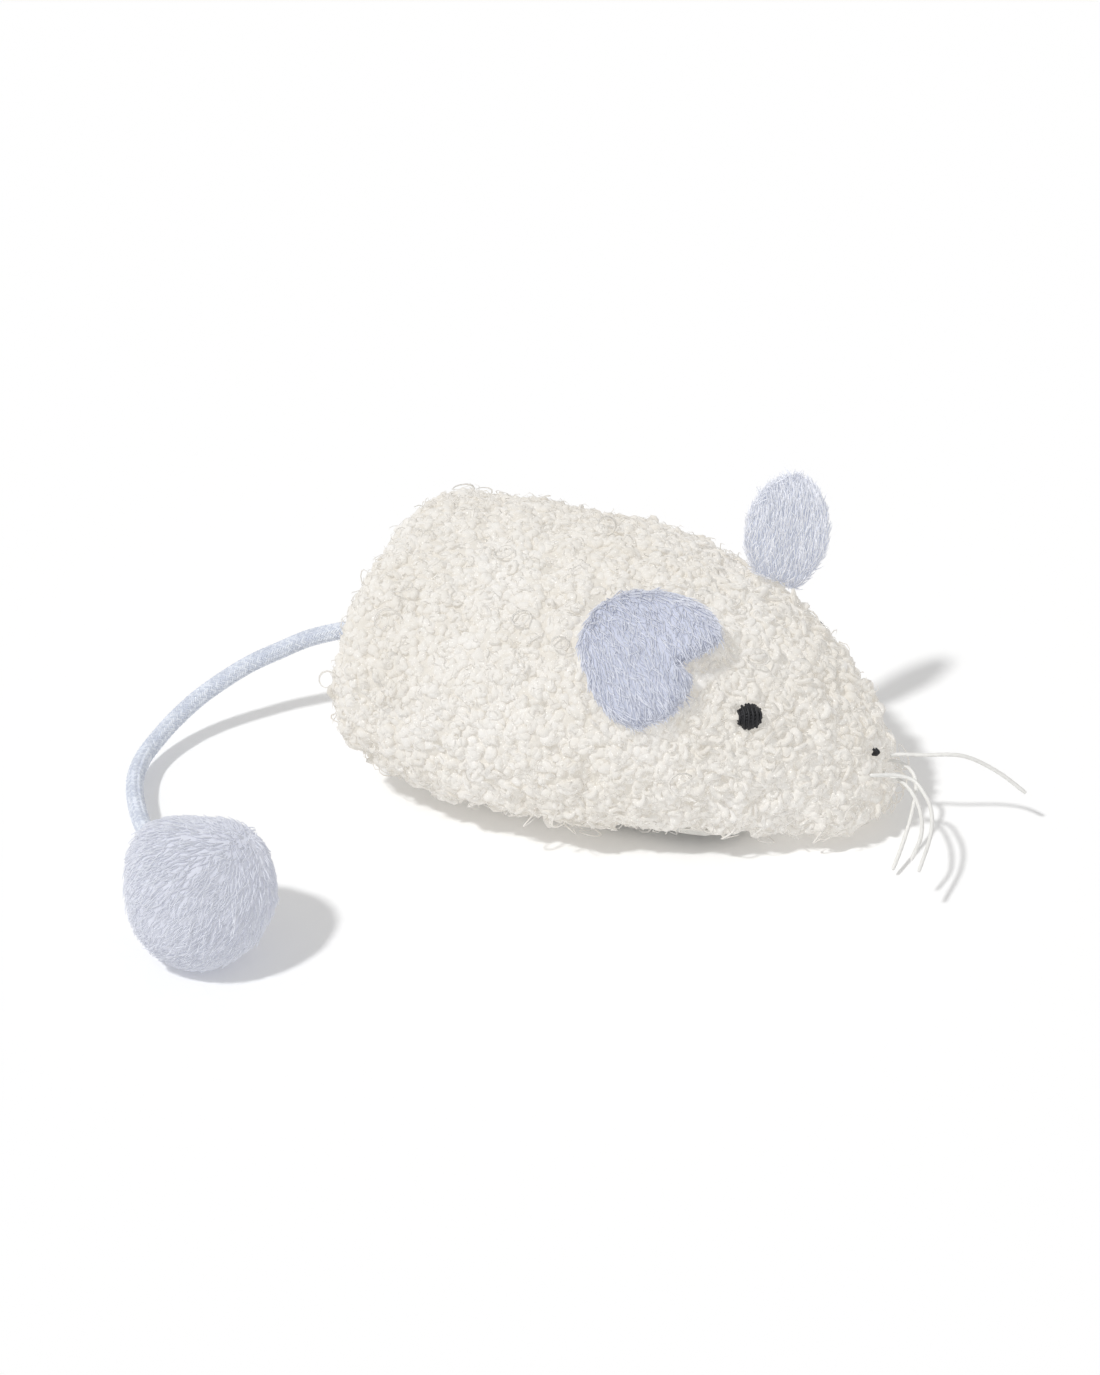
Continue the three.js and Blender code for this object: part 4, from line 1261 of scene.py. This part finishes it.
def makeTyre(node, body):
    r = rolling
    low, high = nodeBox(node)
    outer = (high.z - low.z) / 2 / mm
    half = [
        (r["tyreInside"], r["tyreHalf"]), (outer - r["shoulder"], r["tyreHalf"]),
        (outer - r["crown"], r["tyreHalf"] * r["shoulderWidth"]), (outer, r["tyreHalf"] * r["crownWidth"]),
    ]
    middle = nodeMiddle(node)
    steps = r["lugs"] * 4
    bm = turnedForm(mirroredProfile(half), middle, steps)
    for vert in bm.verts:
        # one step in four is a groove, and across the tyre it is half a lug further on
        reach = vert.co - middle
        radius = math.hypot(reach.x, reach.z)
        turn = (math.atan2(reach.z, reach.x) / (2 * math.pi) * steps + (1 if reach.y > 0 else 3)) % 4
        if radius > (outer - r["shoulder"]) * mm and turn > 2.5:
            vert.co -= Vector((reach.x, 0, reach.z)).normalized() * r["grooveDepth"]
    makeHard(bm, node, camelCase(node), body, tyreMaterial)


def makeAxle(node, body):
    low, high = nodeBox(node)
    radius = (high.z - low.z) / 2 / mm
    half = (high.y - low.y) / 2 / mm
    bm = turnedForm(mirroredProfile([(0, half), (radius, half)]), nodeMiddle(node), rolling["axleSteps"])
    makeHard(bm, node, camelCase(node), body, steelMaterial)


def makeScrew(node, name):
    s = screw
    low, high = nodeBox(node)
    head = (high.x - low.x) / 2 / mm
    tall = (high.z - low.z) / mm
    width, length, depth = s["recess"]
    profile = [(0, 0), (head, 0), (head, s["headHeight"]), (s["threadRadius"], s["neckEnd"])]
    for thread in range(s["threads"]):
        foot = s["threadStart"] + thread * s["pitch"]
        profile += [(s["coreRadius"], foot), (s["threadRadius"], foot + s["flank"])]
    profile += [(s["pointRadius"], tall - s["pointLength"]), (0, tall)]
    bm = turnedForm(profile, Vector((0, 0, 0)), s["steps"])
    bmesh.ops.rotate(bm, verts=bm.verts, matrix=Matrix.Rotation(math.pi / 2, 3, "X"))
    cutter = bmesh.new()
    for size in ((width, length, depth), (length, width, depth)):
        made = bmesh.ops.create_cube(cutter, size=1)["verts"]
        bmesh.ops.scale(cutter, vec=Vector(size) * mm, verts=made)
    recess = addObject("recess", finishMesh(cutter, "recess", smooth=False))
    bm = cutAway(bm, name, recess, use_self=True)
    bmesh.ops.translate(bm, vec=((low.x + high.x) / 2, (low.y + high.y) / 2, low.z), verts=bm.verts)
    makeHard(bm, node, name, "toy", steelMaterial)


def makeTray():
    # the tray's own form with its doubles merged, its flats made whole and its edges eased
    bm = nodeForm("chassis_base")
    bmesh.ops.dissolve_limit(bm, angle_limit=rolling["flat"], verts=bm.verts, edges=bm.edges)
    roundEdges(bm)
    makeHard(bm, "chassis_base", "chassisTray", "toy", mouldingMaterial)


mouldingMaterial = mouldedFinish()
tyreMaterial = tyreFinish()
steelMaterial = steelFinish()
for end in ("front", "rear"):
    makeAxle(end + "_axle", end + "_wheels")
    for side in ("left", "right"):
        makeWheel(f"wheel_{end}_{side}", end + "_wheels")
        makeTyre(f"tyre_{end}_{side}", end + "_wheels")
for place in ("front", "rear", "left", "right"):
    makeScrew("chassis_screw_" + place, "screw" + place.capitalize())
makeTray()
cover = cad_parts["chassis_cover"]
cover.data.materials.clear()
cover.data.materials.append(mouldingMaterial)
print("chassis, wheels and screws made")
